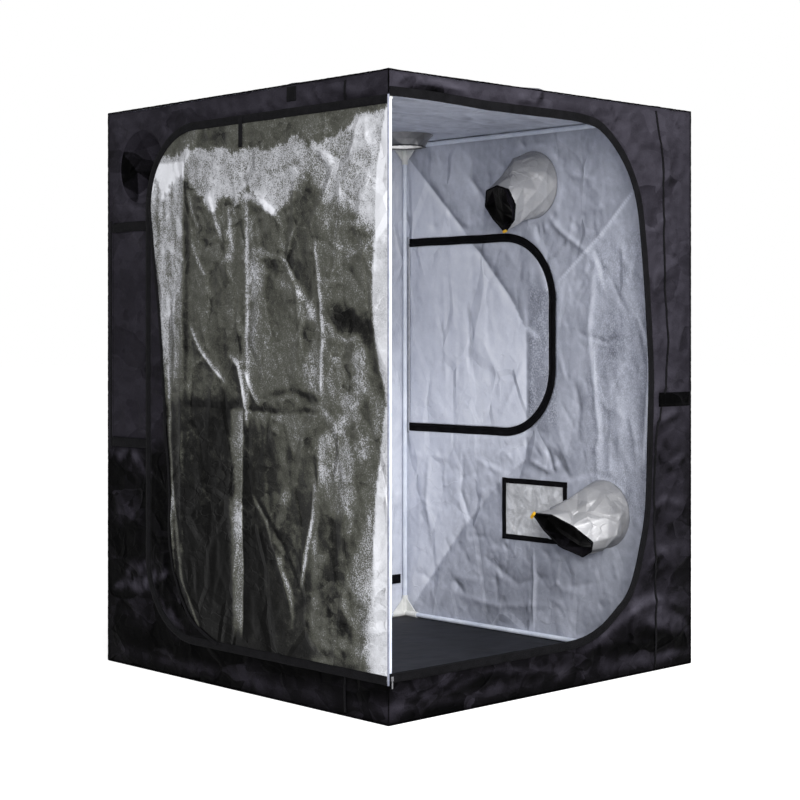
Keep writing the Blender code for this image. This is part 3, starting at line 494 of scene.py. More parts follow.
def stray_creases(seed, count, box, lean, lengths, width, height):
    """Straight creases strewn over a cloth, about as steep as lean, in degrees from level."""
    chance = random.Random(seed)
    creases = []
    for _ in range(count):
        a, b = chance.uniform(box[0], box[1]), chance.uniform(box[2], box[3])
        way = math.radians(chance.gauss(*lean))
        half = chance.uniform(*lengths) / 2
        bend = chance.gauss(0, 0.06) * half
        step_a, step_b = math.cos(way) * half, math.sin(way) * half
        middle = (a - math.sin(way) * bend, b + math.cos(way) * bend)
        wide = width * chance.uniform(0.6, 1.4)
        high = height * chance.choice((-1, 1)) * chance.uniform(0.5, 1.3)
        creases.append(([(a - step_a, b - step_b), middle, (a + step_a, b + step_b)], wide, high))
    return creases


def strewn(*rows):
    """Several lots of stray creases, one after the other."""
    return [crease for row in rows for crease in stray_creases(*row)]


def sharp_folds(a, b, creases):
    """The height of creases that come to an edge and fall off evenly on both sides."""
    total = np.zeros(np.shape(a))
    for line, width, height in creases:
        a0, b0 = np.min(line, axis=0) - 4 * width
        a1, b1 = np.max(line, axis=0) + 4 * width
        near = (a > a0) & (a < a1) & (b > b0) & (b < b1)
        far, share = from_line(a[near], b[near], line)
        total[near] += height * eased(np.minimum(share, 1 - share) * 4) * np.exp(-far / width)
    return total


def round_end(a, b, hinge, free, low, high, radius):
    """How far a place is outside a D, square at its hinge side and round at its free one."""
    side = math.copysign(1, free - hinge)
    out = (a - hinge) * side - (abs(free - hinge) - radius)
    up = np.abs(b - (low + high) / 2) - ((high - low) / 2 - radius)
    corner = np.hypot(np.maximum(out, 0), np.maximum(up, 0)) + np.minimum(np.maximum(out, up), 0)
    return np.maximum(corner - radius, (hinge - a) * side)


def outline_away(a, b, outline):
    """How far a place is outside a closed outline, below zero within it."""
    far, _ = from_line(a, b, outline + outline[:1])
    inside = np.zeros(np.shape(a), dtype=bool)
    for (a0, b0), (a1, b1) in zip(outline, outline[1:] + outline[:1]):
        if b0 != b1:
            crosses = (b0 > b) != (b1 > b)
            inside ^= crosses & (a < a0 + (b - b0) * (a1 - a0) / (b1 - b0))
    return np.where(inside, -far, far)


def lit_patch(a, b, outline, soft):
    """1 within an outline, easing to 0 across its edge."""
    return eased(0.5 - outline_away(a, b, outline) / soft)


def softened(line, rounds=2):
    """The same line with its corners cut round."""
    for _ in range(rounds):
        middle = []
        for (a0, b0), (a1, b1) in zip(line, line[1:]):
            middle.append((0.75 * a0 + 0.25 * a1, 0.75 * b0 + 0.25 * b1))
            middle.append((0.25 * a0 + 0.75 * a1, 0.25 * b0 + 0.75 * b1))
        line = [line[0]] + middle + [line[-1]]
    return line


def box_away(a, b, box):
    """How far a place is outside a box, below zero within it."""
    a0, a1, b0, b1 = box
    out = np.abs(a - (a0 + a1) / 2) - (a1 - a0) / 2
    up = np.abs(b - (b0 + b1) / 2) - (b1 - b0) / 2
    return np.hypot(np.maximum(out, 0), np.maximum(up, 0)) + np.minimum(np.maximum(out, up), 0)


def disc_away(a, b, centre, radius):
    """How far a place is outside a disc, below zero within it."""
    return np.hypot(a - centre[0], b - centre[1]) - radius


# ---- Making pieces

# How high the top edge stands at places along the left and front walls, in units of BRIM_UNIT
BRIM_UNIT = 0.0009
BRIM_FROM = 1.93
BRIM_LEFT = [
    (-0.75, 3), (-0.65, -2), (-0.56, 1), (-0.37, 0), (-0.296, 4), (-0.245, -1), (-0.18, -6), (-0.15, -2),
    (-0.06, -3), (0.19, -3), (0.53, -6), (0.75, -2),
]
BRIM_FRONT = [
    (-0.75, 3), (-0.61, -2), (-0.45, -5), (-0.29, -2), (-0.155, 1), (-0.068, 6), (-0.033, -1), (0.167, -2),
    (0.435, -4), (0.564, 3), (0.636, -6), (0.75, -1),
]


def brim(spot):
    """How the cover's top edge rises and dips over its rails, in metres."""
    if spot.z < BRIM_FROM:
        return 0.0
    along = -spot.y if spot.x > 0 else spot.y
    left = np.interp(along, *zip(*BRIM_LEFT)) * past(abs(spot.x), 0.742, 0.006)
    across = -spot.x if spot.y > 0 else spot.x
    front = np.interp(across, *zip(*BRIM_FRONT)) * past(abs(spot.y), 0.742, 0.006)
    return float(max(left, front, key=abs)) * BRIM_UNIT * float(past(spot.z, BRIM_FROM, 0.05))


@dataclass
class Face:
    """A flat side of the tent: the axis it looks along, on which side, and how far out it lies."""

    axis: int
    side: int
    level: float

    def spot(self, a, b, lift):
        out = self.side * (self.level + lift)
        return [(out, a, b), (a, out, b), (a, b, out)][self.axis]

    def outward(self):
        return Vector([self.side if i == self.axis else 0 for i in range(3)])


FRONT, REAR = Face(1, -1, HALF), Face(1, 1, HALF)
LEFT, RIGHT = Face(0, -1, HALF), Face(0, 1, HALF)
ROOF, FLOOR = Face(2, 1, HEIGHT), Face(2, -1, 0.0)


def finish_piece(name, shape, looks, body, replaced=()):
    """Makes a piece of a shape and hangs it on the body that carries it."""
    mesh = bpy.data.meshes.new(name)
    shape.to_mesh(mesh)
    shape.free()
    for look in looks:
        mesh.materials.append(look)
    mesh.shade_smooth()
    piece = bpy.data.objects.new(name, mesh)
    bpy.context.scene.collection.objects.link(piece)
    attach(piece, body)
    if replaced:
        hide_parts(*replaced)
    return piece


def thicken(piece, depth, offset=-1.0, inner_slot=1):
    """Gives cloth its thickness, inwards from its outer face unless offset says otherwise."""
    wall = piece.modifiers.new("thickness", "SOLIDIFY")
    wall.thickness = depth
    wall.offset = offset
    wall.material_offset = inner_slot
    return piece


def flat_grid(box, step):
    a0, a1, b0, b1 = box
    shape = bmesh.new()
    across, along = max(2, round((a1 - a0) / step)), max(2, round((b1 - b0) / step))
    bmesh.ops.create_grid(shape, x_segments=across, y_segments=along, size=0.5)
    bmesh.ops.scale(shape, verts=shape.verts, vec=(a1 - a0, b1 - b0, 1))
    bmesh.ops.translate(shape, verts=shape.verts, vec=((a0 + a1) / 2, (b0 + b1) / 2, 0))
    return shape


def trim(shape, margin, step):
    """Cuts cloth away where margin is below zero, and draws the new edge onto the line itself."""
    faces = shape.faces[:]
    middles = np.array([face.calc_center_median()[:2] for face in faces])
    outside = margin(middles[:, 0], middles[:, 1]) < 0
    cut = [face for face, gone in zip(faces, outside) if gone]
    bmesh.ops.delete(shape, geom=cut, context="FACES")
    edge = [vert for vert in shape.verts if vert.is_boundary]
    nudge = step / 20
    for _ in range(3):
        a, b = np.array([vert.co[:2] for vert in edge]).T
        far = margin(a, b)
        slope_a = (margin(a + nudge, b) - margin(a - nudge, b)) / (2 * nudge)
        slope_b = (margin(a, b + nudge) - margin(a, b - nudge)) / (2 * nudge)
        for vert, away, grow_a, grow_b in zip(edge, far, slope_a, slope_b):
            if abs(away) < 1.1 * step:  # the grid's own outer edge may be farther off and stays
                vert.co.x -= away * grow_a
                vert.co.y -= away * grow_b


def faces_out(shape, outward, sample):
    """Turns a shape's faces round where the first ones look inwards."""
    shape.faces.ensure_lookup_table()
    if sum(one.normal.dot(outward) for one in shape.faces[:sample]) < 0:
        bmesh.ops.reverse_faces(shape, faces=shape.faces)


# How much painted shading from its slope may darken or brighten a cloth
SHEEN_LEAST, SHEEN_MOST = -0.22, 0.26


def lay_cloth(
    name, box, step, face, rise, looks, body, replaced=(), margin=None, tones=None, sheen=None, thick=CLOTH
):
    """A panel of cloth on a face: cut, raised into its folds and given its lining.

    Rise gives its height over the face, margin how far a place is inside its cut, and tones the values
    that its finishes read. Sheen is painted shading: for each of these values, a way; folds that face it
    are painted brighter, and folds turned from it darker.
    """
    shape = flat_grid(box, step)
    if margin:
        trim(shape, margin, step)
    a, b = np.array([vert.co[:2] for vert in shape.verts]).T
    lift = rise(a, b)
    for key, values in (tones(a, b) if tones else {}).items():
        layer = shape.verts.layers.float.new(key)
        for vert, value in zip(shape.verts, values):
            vert[layer] = value
    for vert, x, y, up in zip(shape.verts, a, b, lift):
        vert.co = face.spot(x, y, up)
        vert.co.z += brim(vert.co)
    shape.normal_update()
    flat = face.outward()
    # Painted shading: each value is raised or lowered by how its fold faces the given way
    for key, lit_way in (sheen or {}).items():
        layer = shape.verts.layers.float[key]
        for vert in shape.verts:
            turned = vert.normal if vert.normal.dot(flat) > 0 else -vert.normal
            vert[layer] += max(SHEEN_LEAST, min(SHEEN_MOST, turned.dot(Vector(lit_way))))
    faces_out(shape, flat, 40)
    return thicken(finish_piece(name, shape, looks, body, replaced), thick)


def edge_room(a, b, box):
    """How far a place is inside a box."""
    a0, a1, b0, b1 = box
    return np.minimum(np.minimum(a - a0, a1 - a), np.minimum(b - b0, b1 - b))


# ---- Walls

WALL_BOX = (-EDGE, EDGE, WALL_LOW, WALL_HIGH)
END_BOX = (-END, END, WALL_LOW, WALL_HIGH)


def wall_slack(a, b, box, seed, depth=1.0):
    """The shallow swells and puckers of a wall held taut at its edges."""
    room = edge_room(a, b, box)
    swell = 0.003 * rolling(a, b, 0.42, seed, 3) + 0.0026 * crumpled(a, b, 0.2, seed + 3, 3)
    pucker = 0.0016 * crumpled(a, b, 0.07, seed + 7, 3)
    return depth * (swell * eased(room / 0.1) + pucker * eased(room / 0.03))


def left_margin(a, b):
    window = round_end(a, b, WINDOW[0] + LEFT_FOLD_ROOM, *WINDOW[1:])
    return np.minimum(window, disc_away(a, b, *LEFT_PORT))


def right_margin(a, b):
    window = round_end(a, b, WINDOW[0] + RIGHT_FOLD_ROOM, *WINDOW[1:])
    ports = np.minimum(disc_away(a, b, *UPPER_PORT), disc_away(a, b, *LOWER_PORT))
    low_y, high_y, low_z, high_z = VENT
    vent = box_away(a, b, (low_y + VENT_LAP, high_y - VENT_LAP, low_z + VENT_LAP, high_z - VENT_LAP))
    return np.minimum(np.minimum(window, ports), vent)


def front_margin(a, b):
    beyond = -2.0  # the doorway is open at its hinge side, so its outline closes outside the wall
    return outline_away(a, b, [(beyond, DOORWAY_LINE[0][1])] + DOORWAY_LINE + [(beyond, DOORWAY_LINE[-1][1])])


# The doorway's slack edge from its lower hinge side round to the upper one
DOORWAY_LINE = softened([
    (-0.747, 0.157), (0.05, 0.156), (0.146, 0.16), (0.24, 0.186), (0.318, 0.234), (0.396, 0.291),
    (0.435, 0.375), (0.462, 0.46), (0.486, 0.545), (0.495, 0.647), (0.5, 0.798), (0.503, 0.886),
    (0.508, 0.988), (0.507, 1.102), (0.496, 1.229), (0.486, 1.353), (0.474, 1.454), (0.46, 1.566),
    (0.444, 1.652), (0.413, 1.728), (0.374, 1.786), (0.318, 1.844), (0.25, 1.892), (0.193, 1.909),
    (0.094, 1.915), (-0.071, 1.914), (-0.292, 1.913), (-0.456, 1.918), (-0.6, 1.922), (-0.747, 1.92),
])
# The seam beside the doorway, from the top down
FRONT_SEAM = [
    (0.547, 1.985), (0.586, 1.813), (0.598, 1.35), (0.612, 1.172), (0.6, 1.0), (0.556, 0.88),
    (0.541, 0.76), (0.535, 0.606), (0.541, 0.252), (0.544, 0.012),
]

# Folds of the walls: each one's line, its width and its height
LEFT_FOLDS = [
    ([(0.72, 1.95), (0.6, 1.78)], 0.012, 0.003),
    ([(0.7, 1.97), (0.66, 1.72)], 0.01, 0.0025),
    ([(0.74, 1.93), (0.45, 1.86)], 0.012, 0.0025),
    ([(0.73, 0.3), (0.5, 0.42), (0.38, 0.36)], 0.03, 0.004),
    ([(0.74, 0.16), (0.52, 0.24), (0.4, 0.2)], 0.022, 0.0045),
    ([(0.74, 0.05), (0.5, 0.12), (0.2, 0.09)], 0.02, 0.004),
    ([(0.7, 0.62), (0.6, 0.52), (0.5, 0.55)], 0.015, 0.003),
    ([(0.1, 0.1), (-0.3, 0.06), (-0.6, 0.09)], 0.02, 0.004),
    ([(-0.4, 0.05), (-0.62, 0.1), (-0.73, 0.03)], 0.015, 0.0045),
    ([(-0.45, 1.97), (-0.66, 1.93), (-0.74, 1.98)], 0.012, 0.0035),
]


def left_rise(a, b):
    lift = wall_slack(a, b, WALL_BOX, 2.0) + sharp_folds(a, b, LEFT_FOLDS)
    hold = eased(edge_room(a, b, WALL_BOX) / 0.02) * eased(left_margin(a, b) / 0.05)
    return np.clip(lift * hold, -0.006, 0.0036)


# Places of the low left side where its loose folds catch the light
LEFT_PATCHES = [
    ([(0.72, 0.764), (0.608, 0.784), (0.503, 0.746), (0.407, 0.698), (0.485, 0.676), (0.589, 0.706),
      (0.671, 0.726)], 0.24),
    ([(0.72, 0.542), (0.639, 0.584), (0.564, 0.575), (0.595, 0.526), (0.671, 0.495)], 0.22),
    ([(0.589, 0.372), (0.407, 0.4), (0.354, 0.359), (0.443, 0.301), (0.546, 0.269), (0.721, 0.269)], 0.34),
    ([(0.443, 0.28), (0.354, 0.254), (0.261, 0.165), (0.307, 0.176), (0.425, 0.211)], 0.26),
    ([(0.671, 0.194), (0.546, 0.198), (0.467, 0.157), (0.589, 0.157)], 0.22),
]


LEFT_FOOT_SHADE = [([(0.74, 0.1), (0.3, 0.108), (-0.1, 0.112), (-0.5, 0.125), (-0.74, 0.14)], 0.022, 0.26)]


def left_nylon(a, b):
    """Painted shade darker towards the ground, with painted highlights on glossy folds low down and a painted sheen
    along its foot.
    """
    low = before(b, 0.85, 0.14)
    tone = 0.48 + 0.05 * past(b, 1.2, 0.8) - 0.38 * low - 0.08 * before(b, 0.15, 0.06)
    mottled = 0.7 + 1.1 * rolling(a, b, 0.05, 6.0, 3)
    for outline, strength in LEFT_PATCHES:
        tone += 1.9 * strength * lit_patch(a, b, outline, 0.045) * mottled
    # Painted sheen along the foot of the wall
    gloss = np.exp(-(((b - 0.045) / 0.034) ** 2)) * (0.85 + 0.5 * rolling(a, b, 0.1, 7.0, 3, 3.0))
    tone += 0.44 * gloss * eased((0.8 - a) / 0.5 + 0.3)
    tone -= drawn(a, b, LEFT_FOOT_SHADE)
    return tone + 0.05 * rolling(a, b, 0.22, 5.0)


def left_tones(a, b):
    return {"nylon_tone_and_painted_light": left_nylon(a, b), "film_tone_and_painted_light": 0.45 + 0.15 * rolling(a, b, 0.3, 4.0)}


FRONT_FOLDS = [
    ([(-0.7, 1.985), (-0.6, 1.955), (-0.42, 1.965)], 0.012, 0.006),
    ([(-0.66, 1.94), (-0.52, 1.975), (-0.36, 1.94)], 0.01, 0.005),
    ([(-0.08, 1.985), (-0.04, 1.94)], 0.008, 0.006),
    ([(-0.2, 1.97), (-0.02, 1.93), (0.06, 1.96)], 0.01, 0.004),
    ([(0.5, 1.83), (0.56, 1.72), (0.6, 1.68)], 0.01, 0.003),
    ([(0.66, 1.9), (0.6, 1.7)], 0.01, 0.0025),
    ([(0.52, 0.95), (0.57, 0.88), (0.7, 0.92)], 0.014, 0.006),
    ([(0.55, 0.8), (0.62, 0.72), (0.74, 0.76)], 0.014, 0.006),
    ([(0.5, 0.55), (0.6, 0.6), (0.73, 0.56)], 0.016, 0.005),
    ([(0.48, 0.36), (0.58, 0.42), (0.66, 0.33)], 0.018, 0.006),
    ([(0.4, 0.22), (0.56, 0.25), (0.73, 0.2)], 0.02, 0.006),
    ([(0.05, 0.1), (0.3, 0.13), (0.6, 0.08)], 0.02, 0.005),
    ([(-0.6, 0.05), (-0.3, 0.1), (0.1, 0.05)], 0.018, 0.006),
    ([(-0.74, 0.1), (-0.6, 0.06), (-0.45, 0.12)], 0.014, 0.006),
]


def front_rise(a, b):
    lift = wall_slack(a, b, END_BOX, 11.0) + 1.3 * sharp_folds(a, b, FRONT_FOLDS)
    return lift * eased(edge_room(a, b, END_BOX) / 0.02) * eased((front_margin(a, b) - 0.022) / 0.03)


# Painted shade in the creases of the strip over the doorway
FRONT_CREASE_SHADE = [
    ([(-0.705, 1.96), (-0.66, 1.984), (-0.6, 1.972)], 0.008, 0.26),
    ([(-0.69, 1.938), (-0.63, 1.953), (-0.56, 1.972), (-0.53, 1.966)], 0.007, 0.28),
    ([(-0.63, 1.938), (-0.56, 1.948), (-0.49, 1.954)], 0.007, 0.26),
    ([(-0.6, 1.985), (-0.56, 1.955), (-0.55, 1.94)], 0.006, 0.2),
    ([(-0.046, 1.991), (-0.088, 1.936)], 0.008, 0.4),
    ([(-0.175, 1.94), (-0.13, 1.95), (-0.09, 1.938)], 0.009, 0.26),
    ([(0.1, 1.935), (0.24, 1.93), (0.36, 1.88)], 0.006, 0.14),
    ([(0.3, 1.985), (0.33, 1.93)], 0.006, 0.16),
    ([(0.64, 1.97), (0.69, 1.93)], 0.006, 0.14),
]


# Painted highlights on folds and patches beside the doorway, and painted shade on the patch at its foot
FRONT_GLEAMS = [
    ([(0.235, 0.147), (0.342, 0.196), (0.451, 0.24)], 0.014, 0.22),
    ([(0.54, 0.62), (0.62, 0.58), (0.72, 0.6)], 0.03, 0.14),
    ([(0.52, 0.46), (0.6, 0.42), (0.74, 0.44)], 0.025, 0.14),
    ([(0.55, 0.9), (0.62, 0.86), (0.72, 0.87)], 0.025, 0.1),
]
FRONT_LIT = [
    (0.38, 0.258), (0.53, 0.285), (0.644, 0.2), (0.73, 0.15), (0.735, 0.11), (0.644, 0.123),
    (0.53, 0.157), (0.435, 0.203),
]
FRONT_SHADE = [(0.4, 0.18), (0.54, 0.14), (0.72, 0.085), (0.575, 0.05), (0.38, 0.12)]


def front_tones(a, b):
    # Painted shade: darker low down and darkest just above the sill; a painted sheen along the foot, painted
    # highlights and painted shade on patches and creases
    low = before(b, 0.95, 0.2)
    tone = 0.56 + 0.05 * past(b, 1.0, 0.7) - 0.2 * low - 0.22 * before(b, 0.18, 0.05)
    gloss = np.exp(-(((b - 0.05) / 0.03) ** 2)) * (0.75 + 0.6 * rolling(a, b, 0.09, 17.0, 3))
    tone += 0.42 * gloss * before(b, 0.16, 0.03)
    tone += 0.42 * lit_patch(a, b, FRONT_LIT, 0.03) * (0.8 + 0.6 * rolling(a, b, 0.06, 18.0, 3))
    tone += drawn(a, b, FRONT_GLEAMS)
    tone -= 0.14 * lit_patch(a, b, FRONT_SHADE, 0.04)
    tone += 0.05 * rolling(a, b, 0.2, 15.0) - drawn(a, b, FRONT_CREASE_SHADE)
    return {"nylon_tone_and_painted_light": tone, "film_tone_and_painted_light": 0.55 + 0.1 * rolling(a, b, 0.3, 14.0)}


# Folds of the right wall and its window that its lining's painted gleams follow
UPPER_CREASE = [(-0.49, 1.73), (-0.33, 1.569), (-0.114, 1.396)]
FLOOR_CREASE = [(0.012, 0.344), (0.012, 0.03)]
JAMB_CREASE = [(-0.3, 1.5), (-0.27, 1.2), (-0.31, 0.9), (-0.34, 0.7)]
CORNER_CREASE = [(0.6, 0.72), (0.62, 0.5), (0.58, 0.3)]
PANE_CREASE = [(0.375, 1.33), (0.365, 1.02)]
RIGHT_STRAYS = strewn(
    (1, 26, (-0.02, 0.7, 0.84, 1.56), (82, 20), (0.1, 0.4), 0.016, 0.0016),
    (5, 30, (-0.56, -0.12, 0.66, 1.5), (85, 22), (0.06, 0.24), 0.012, 0.0026),
    (2, 40, (-0.5, 0.55, 0.05, 0.7), (30, 35), (0.06, 0.22), 0.014, 0.0024),
    (3, 26, (-0.5, 0.6, 1.6, 1.95), (50, 40), (0.06, 0.24), 0.014, 0.0018),
    (4, 26, (-0.35, 0.15, 1.35, 1.68), (120, 25), (0.05, 0.16), 0.01, 0.0026),
    (6, 110, (-0.56, 0.7, 0.06, 0.76), (50, 45), (0.03, 0.1), 0.0075, 0.0016),
    (8, 90, (-0.56, 0.7, 0.76, 1.95), (75, 35), (0.03, 0.1), 0.0075, 0.0013),
)
RIGHT_FOLDS = [
    ([(0.729, 1.938), (0.38, 1.594), (0.135, 1.329), (0.049, 1.21)], 0.016, 0.006),
    ([(0.054, 1.23), (0.054, 0.7)], 0.01, 0.004),
    ([(0.19, 0.609), (0.415, 0.391), (0.693, 0.073)], 0.014, 0.007),
    (UPPER_CREASE, 0.012, -0.006),
    ([(-0.051, 1.659), (-0.129, 1.589), (-0.231, 1.524), (-0.281, 1.495)], 0.009, -0.005),
    ([(0.001, 1.662), (-0.009, 1.563), (-0.051, 1.483)], 0.009, 0.004),
    (FLOOR_CREASE, 0.006, -0.004),
    (JAMB_CREASE, 0.014, -0.005),
    ([(-0.547, 1.542), (-0.57, 1.319), (-0.561, 1.024), (-0.533, 0.75)], 0.012, -0.006),
    ([(-0.2, 1.2), (-0.36, 1.16), (-0.44, 1.19)], 0.009, 0.004),
    ([(0.4, 0.73), (0.42, 0.55), (0.36, 0.42)], 0.014, 0.004),
    (CORNER_CREASE, 0.014, -0.004),
    ([(0.05, 0.7), (-0.06, 0.66), (-0.14, 0.7)], 0.01, -0.005),
    ([(-0.05, 0.76), (-0.1, 0.64)], 0.008, 0.005),
    ([(0.3, 0.3), (0.1, 0.2), (-0.1, 0.26)], 0.022, 0.004),
    ([(0.45, 0.12), (0.2, 0.1), (-0.1, 0.14)], 0.02, -0.004),
    ([(0.4, 1.86), (0.3, 1.76), (0.22, 1.66)], 0.02, 0.005),
    ([(0.1, 1.97), (0.05, 1.92), (-0.06, 1.95)], 0.01, 0.004),
]


def right_rise(a, b):
    lift = 0.0022 * rolling(a, b, 0.42, 23.0, 3) + sharp_folds(a, b, RIGHT_FOLDS + RIGHT_STRAYS)
    lift += 0.0009 * crumpled(a, b, 0.085, 43.0, 4, 1.5)
    hold = eased(edge_room(a, b, WALL_BOX) / 0.03) * eased((right_margin(a, b) - 0.011) / 0.035)
    return np.clip(lift, -0.012, 0.009) * hold


# Where the creases that bound the painted-light part of the right wall run: heights, and places along the wall
LIT_BOUND = ((0.05, 0.4, 0.609, 0.7, 1.21, 1.33, 1.6, 1.94), (0.7, 0.41, 0.19, 0.054, 0.054, 0.135, 0.385, 0.73))
# Painted highlights along folds, and painted shade where the strength is below zero: line, width and strength
RIGHT_GLEAMS = [
    (UPPER_CREASE, 0.005, 0.34),
    ([(-0.547, 1.6), (-0.57, 1.319), (-0.561, 1.024), (-0.533, 0.7)], 0.006, 0.46),
    ([(-0.3, 1.46), (-0.22, 1.36), (-0.2, 1.3)], 0.01, -0.12),
    ([(-0.16, 1.56), (-0.1, 1.5), (-0.02, 1.47)], 0.008, -0.12),
    ([(-0.25, 1.18), (-0.4, 1.12)], 0.01, -0.1),
    ([(-0.14, 0.62), (-0.3, 0.66), (-0.46, 0.6)], 0.01, 0.12),
    (FLOOR_CREASE, 0.005, 0.3),
    (JAMB_CREASE, 0.014, 0.18),
    ([(0.05, 0.86), (0.03, 0.74)], 0.02, 0.18),
    ([(0.06, 1.3), (0.05, 1.22), (-0.01, 1.18)], 0.012, 0.24),
    ([(-0.03, 1.5), (-0.06, 1.36)], 0.022, 0.3),
    ([(-0.4, 1.4), (-0.38, 1.1)], 0.03, -0.12),
    ([(-0.44, 1.1), (-0.42, 0.8)], 0.03, 0.14),
    (PANE_CREASE, 0.012, -0.16),
    (CORNER_CREASE, 0.016, -0.12),
]


def lit_side(a, b):
    """1 on the part of the right wall with painted light, paler, by the rear corner: its creases bound it."""
    return eased((a - np.interp(b, *LIT_BOUND)) / 0.006 + 0.5)


def right_film(a, b):
    """Painted light on the right wall's lining: pale by the rear corner, darker by its folds, with gleams on them."""
    lit = lit_side(a, b)
    unlit = 1 - lit
    tone = 0.37 + 0.26 * lit - 0.02 * before(a, -0.3, 0.25) + 0.12 * before(a, -0.05, 0.2) * before(b, 0.62, 0.15)
    tone -= 0.08 * unlit * before(b, 0.6, 0.25) * before(a, 0.7, 0.6)
    tone += 0.08 * unlit * past(b, 1.5, 0.2) * past(a, 0.25, 0.2)
    upper_fold = np.interp(b, (1.2, 1.94), (0.1, 0.77))
    tone -= 0.14 * np.exp(-(((a - upper_fold) / 0.09) ** 2)) * (b > 1.22) * unlit
    tone -= 0.15 * unlit * before(b, 1.45, 0.1) * past(b, 0.75, 0.1) * before(a, 0.06, 0.03) * past(a, -0.13, 0.04)
    tone -= 0.16 * lit * before(b, 0.8, 0.12) * past(a, 0.05, 0.1) * before(a, 0.6, 0.2)
    tone -= 0.1 * before(b, 0.78, 0.08) * past(b, 0.6, 0.08) * before(a, 0.1, 0.06) * past(a, -0.24, 0.1)
    tone += drawn(a, b, RIGHT_GLEAMS)
    beyond = np.interp(b, (1.396, 1.73), (-0.114, -0.49))
    tone += 0.05 * eased((beyond - a) / 0.006 + 0.5) * before(b, 1.78, 0.06) * past(b, 1.2, 0.1)
    tone += 0.06 * (crumpled(a, b, 0.055, 47.0, 4, 1.4) - 0.3)
    return tone + 0.04 * rolling(a, b, 0.2, 31.0, 3)


def right_painted_glints(a, b):
    """Where the right wall's lining gets painted glints: by the doorway, and on the window beside its tape."""
    jamb = before(a, -0.22, 0.1) * before(b, 1.66, 0.15) * past(b, 0.45, 0.1)
    jamb *= 0.65 + 0.5 * rolling(a, b, 0.1, 39.0)
    pane = (1 - lit_side(a, b)) * before(a, 0.05, 0.02) * past(a, -0.13, 0.04)
    pane *= before(b, 1.42, 0.08) * past(b, 0.8, 0.1)
    return 0.22 * np.clip(np.maximum(jamb, 1.2 * pane * (0.7 + rolling(a, b, 0.07, 37.0))), 0.0, 1.2)


def right_tones(a, b):
    nylon_tone_and_painted_light = 0.5 + 0.15 * rolling(a, b, 0.25, 21.0)
    return {"nylon_tone_and_painted_light": nylon_tone_and_painted_light, "film_tone_and_painted_light": right_film(a, b), "painted_glint_mask": right_painted_glints(a, b)}


def rear_rise(a, b):
    return wall_slack(a, b, END_BOX, 41.0)


def rear_tones(a, b):
    film = 0.62 + 0.08 * rolling(a, b, 0.2, 44.0) + 0.08 * crumpled(a, b, 0.1, 46.0)
    return {"nylon_tone_and_painted_light": 0.48 + 0.15 * rolling(a, b, 0.25, 42.0), "film_tone_and_painted_light": film}


def make_walls():
    looks = [nylon, wall_film]
    # The last value of each is its painted shading of folds by their slope
    walls = [
        lay_cloth("left_wall_cloth", WALL_BOX, WALL_STEP, LEFT, left_rise, looks, "tent",
                  ["left_wall"], left_margin, left_tones, {"nylon_tone_and_painted_light": (0, -0.4, 0.9)}),
        lay_cloth("right_wall_cloth", WALL_BOX, RIGHT_STEP, RIGHT, right_rise, looks, "tent",
                  ["right_wall"], right_margin, right_tones, {"film_tone_and_painted_light": (0, 1.0, -0.8), "nylon_tone_and_painted_light": (0, 0, 0.8)}),
        lay_cloth("front_wall_cloth", END_BOX, WALL_STEP, FRONT, front_rise, looks, "tent",
                  ["front_wall"], front_margin, front_tones, {"nylon_tone_and_painted_light": (-0.5, 0, 0.9)}),
        lay_cloth("rear_wall_cloth", END_BOX, WALL_STEP, REAR, rear_rise, looks, "tent",
                  ["rear_wall"], None, rear_tones, {"film_tone_and_painted_light": (0.6, 0, -0.6), "nylon_tone_and_painted_light": (0, 0, 0.8)}),
    ]


make_walls()


ROOF_BOX = (-EDGE, EDGE, -EDGE, EDGE)
ROOF_FOLDS = [
    ([(-0.72, -0.7), (-0.3, -0.52), (0.1, -0.5)], 0.018, 0.006),
    ([(-0.7, -0.6), (-0.35, -0.3), (0.05, -0.22)], 0.02, 0.006),
    ([(-0.6, -0.4), (-0.1, -0.35), (0.45, -0.4)], 0.014, -0.005),
    ([(-0.3, 0.1), (0.2, -0.02), (0.6, 0.06)], 0.018, 0.006),
    ([(-0.4, 0.4), (0.05, 0.3), (0.36, 0.36)], 0.016, -0.005),
    ([(-0.1, 0.66), (0.3, 0.62)], 0.014, 0.005),
]
ROOF_STRAYS = strewn(
    (21, 30, (-0.7, 0.7, -0.7, 0.7), (12, 14), (0.15, 0.6), 0.016, 0.003),
    (22, 20, (-0.7, 0.7, -0.7, 0.7), (50, 30), (0.08, 0.3), 0.014, 0.0026),
)


def roof_margin(a, b):
    return disc_away(a, b, *ROOF_PORT)


def roof_rise(a, b):
    lift = wall_slack(a, b, ROOF_BOX, 51.0, 0.8) + sharp_folds(a, b, ROOF_FOLDS + ROOF_STRAYS)
    return lift * eased(edge_room(a, b, ROOF_BOX) / 0.03) * eased(roof_margin(a, b) / 0.04)


def roof_tones(a, b):
    film = 0.5 + 0.06 * rolling(a, b, 0.25, 54.0) + 0.08 * crumpled(a, b, 0.1, 56.0)
    # Painted shade, darker towards the roof's -X side
    film -= 0.1 * before(a, 0.0, 0.8)
    return {"nylon_tone_and_painted_light": 0.5 + 0.15 * rolling(a, b, 0.25, 52.0), "film_tone_and_painted_light": film}


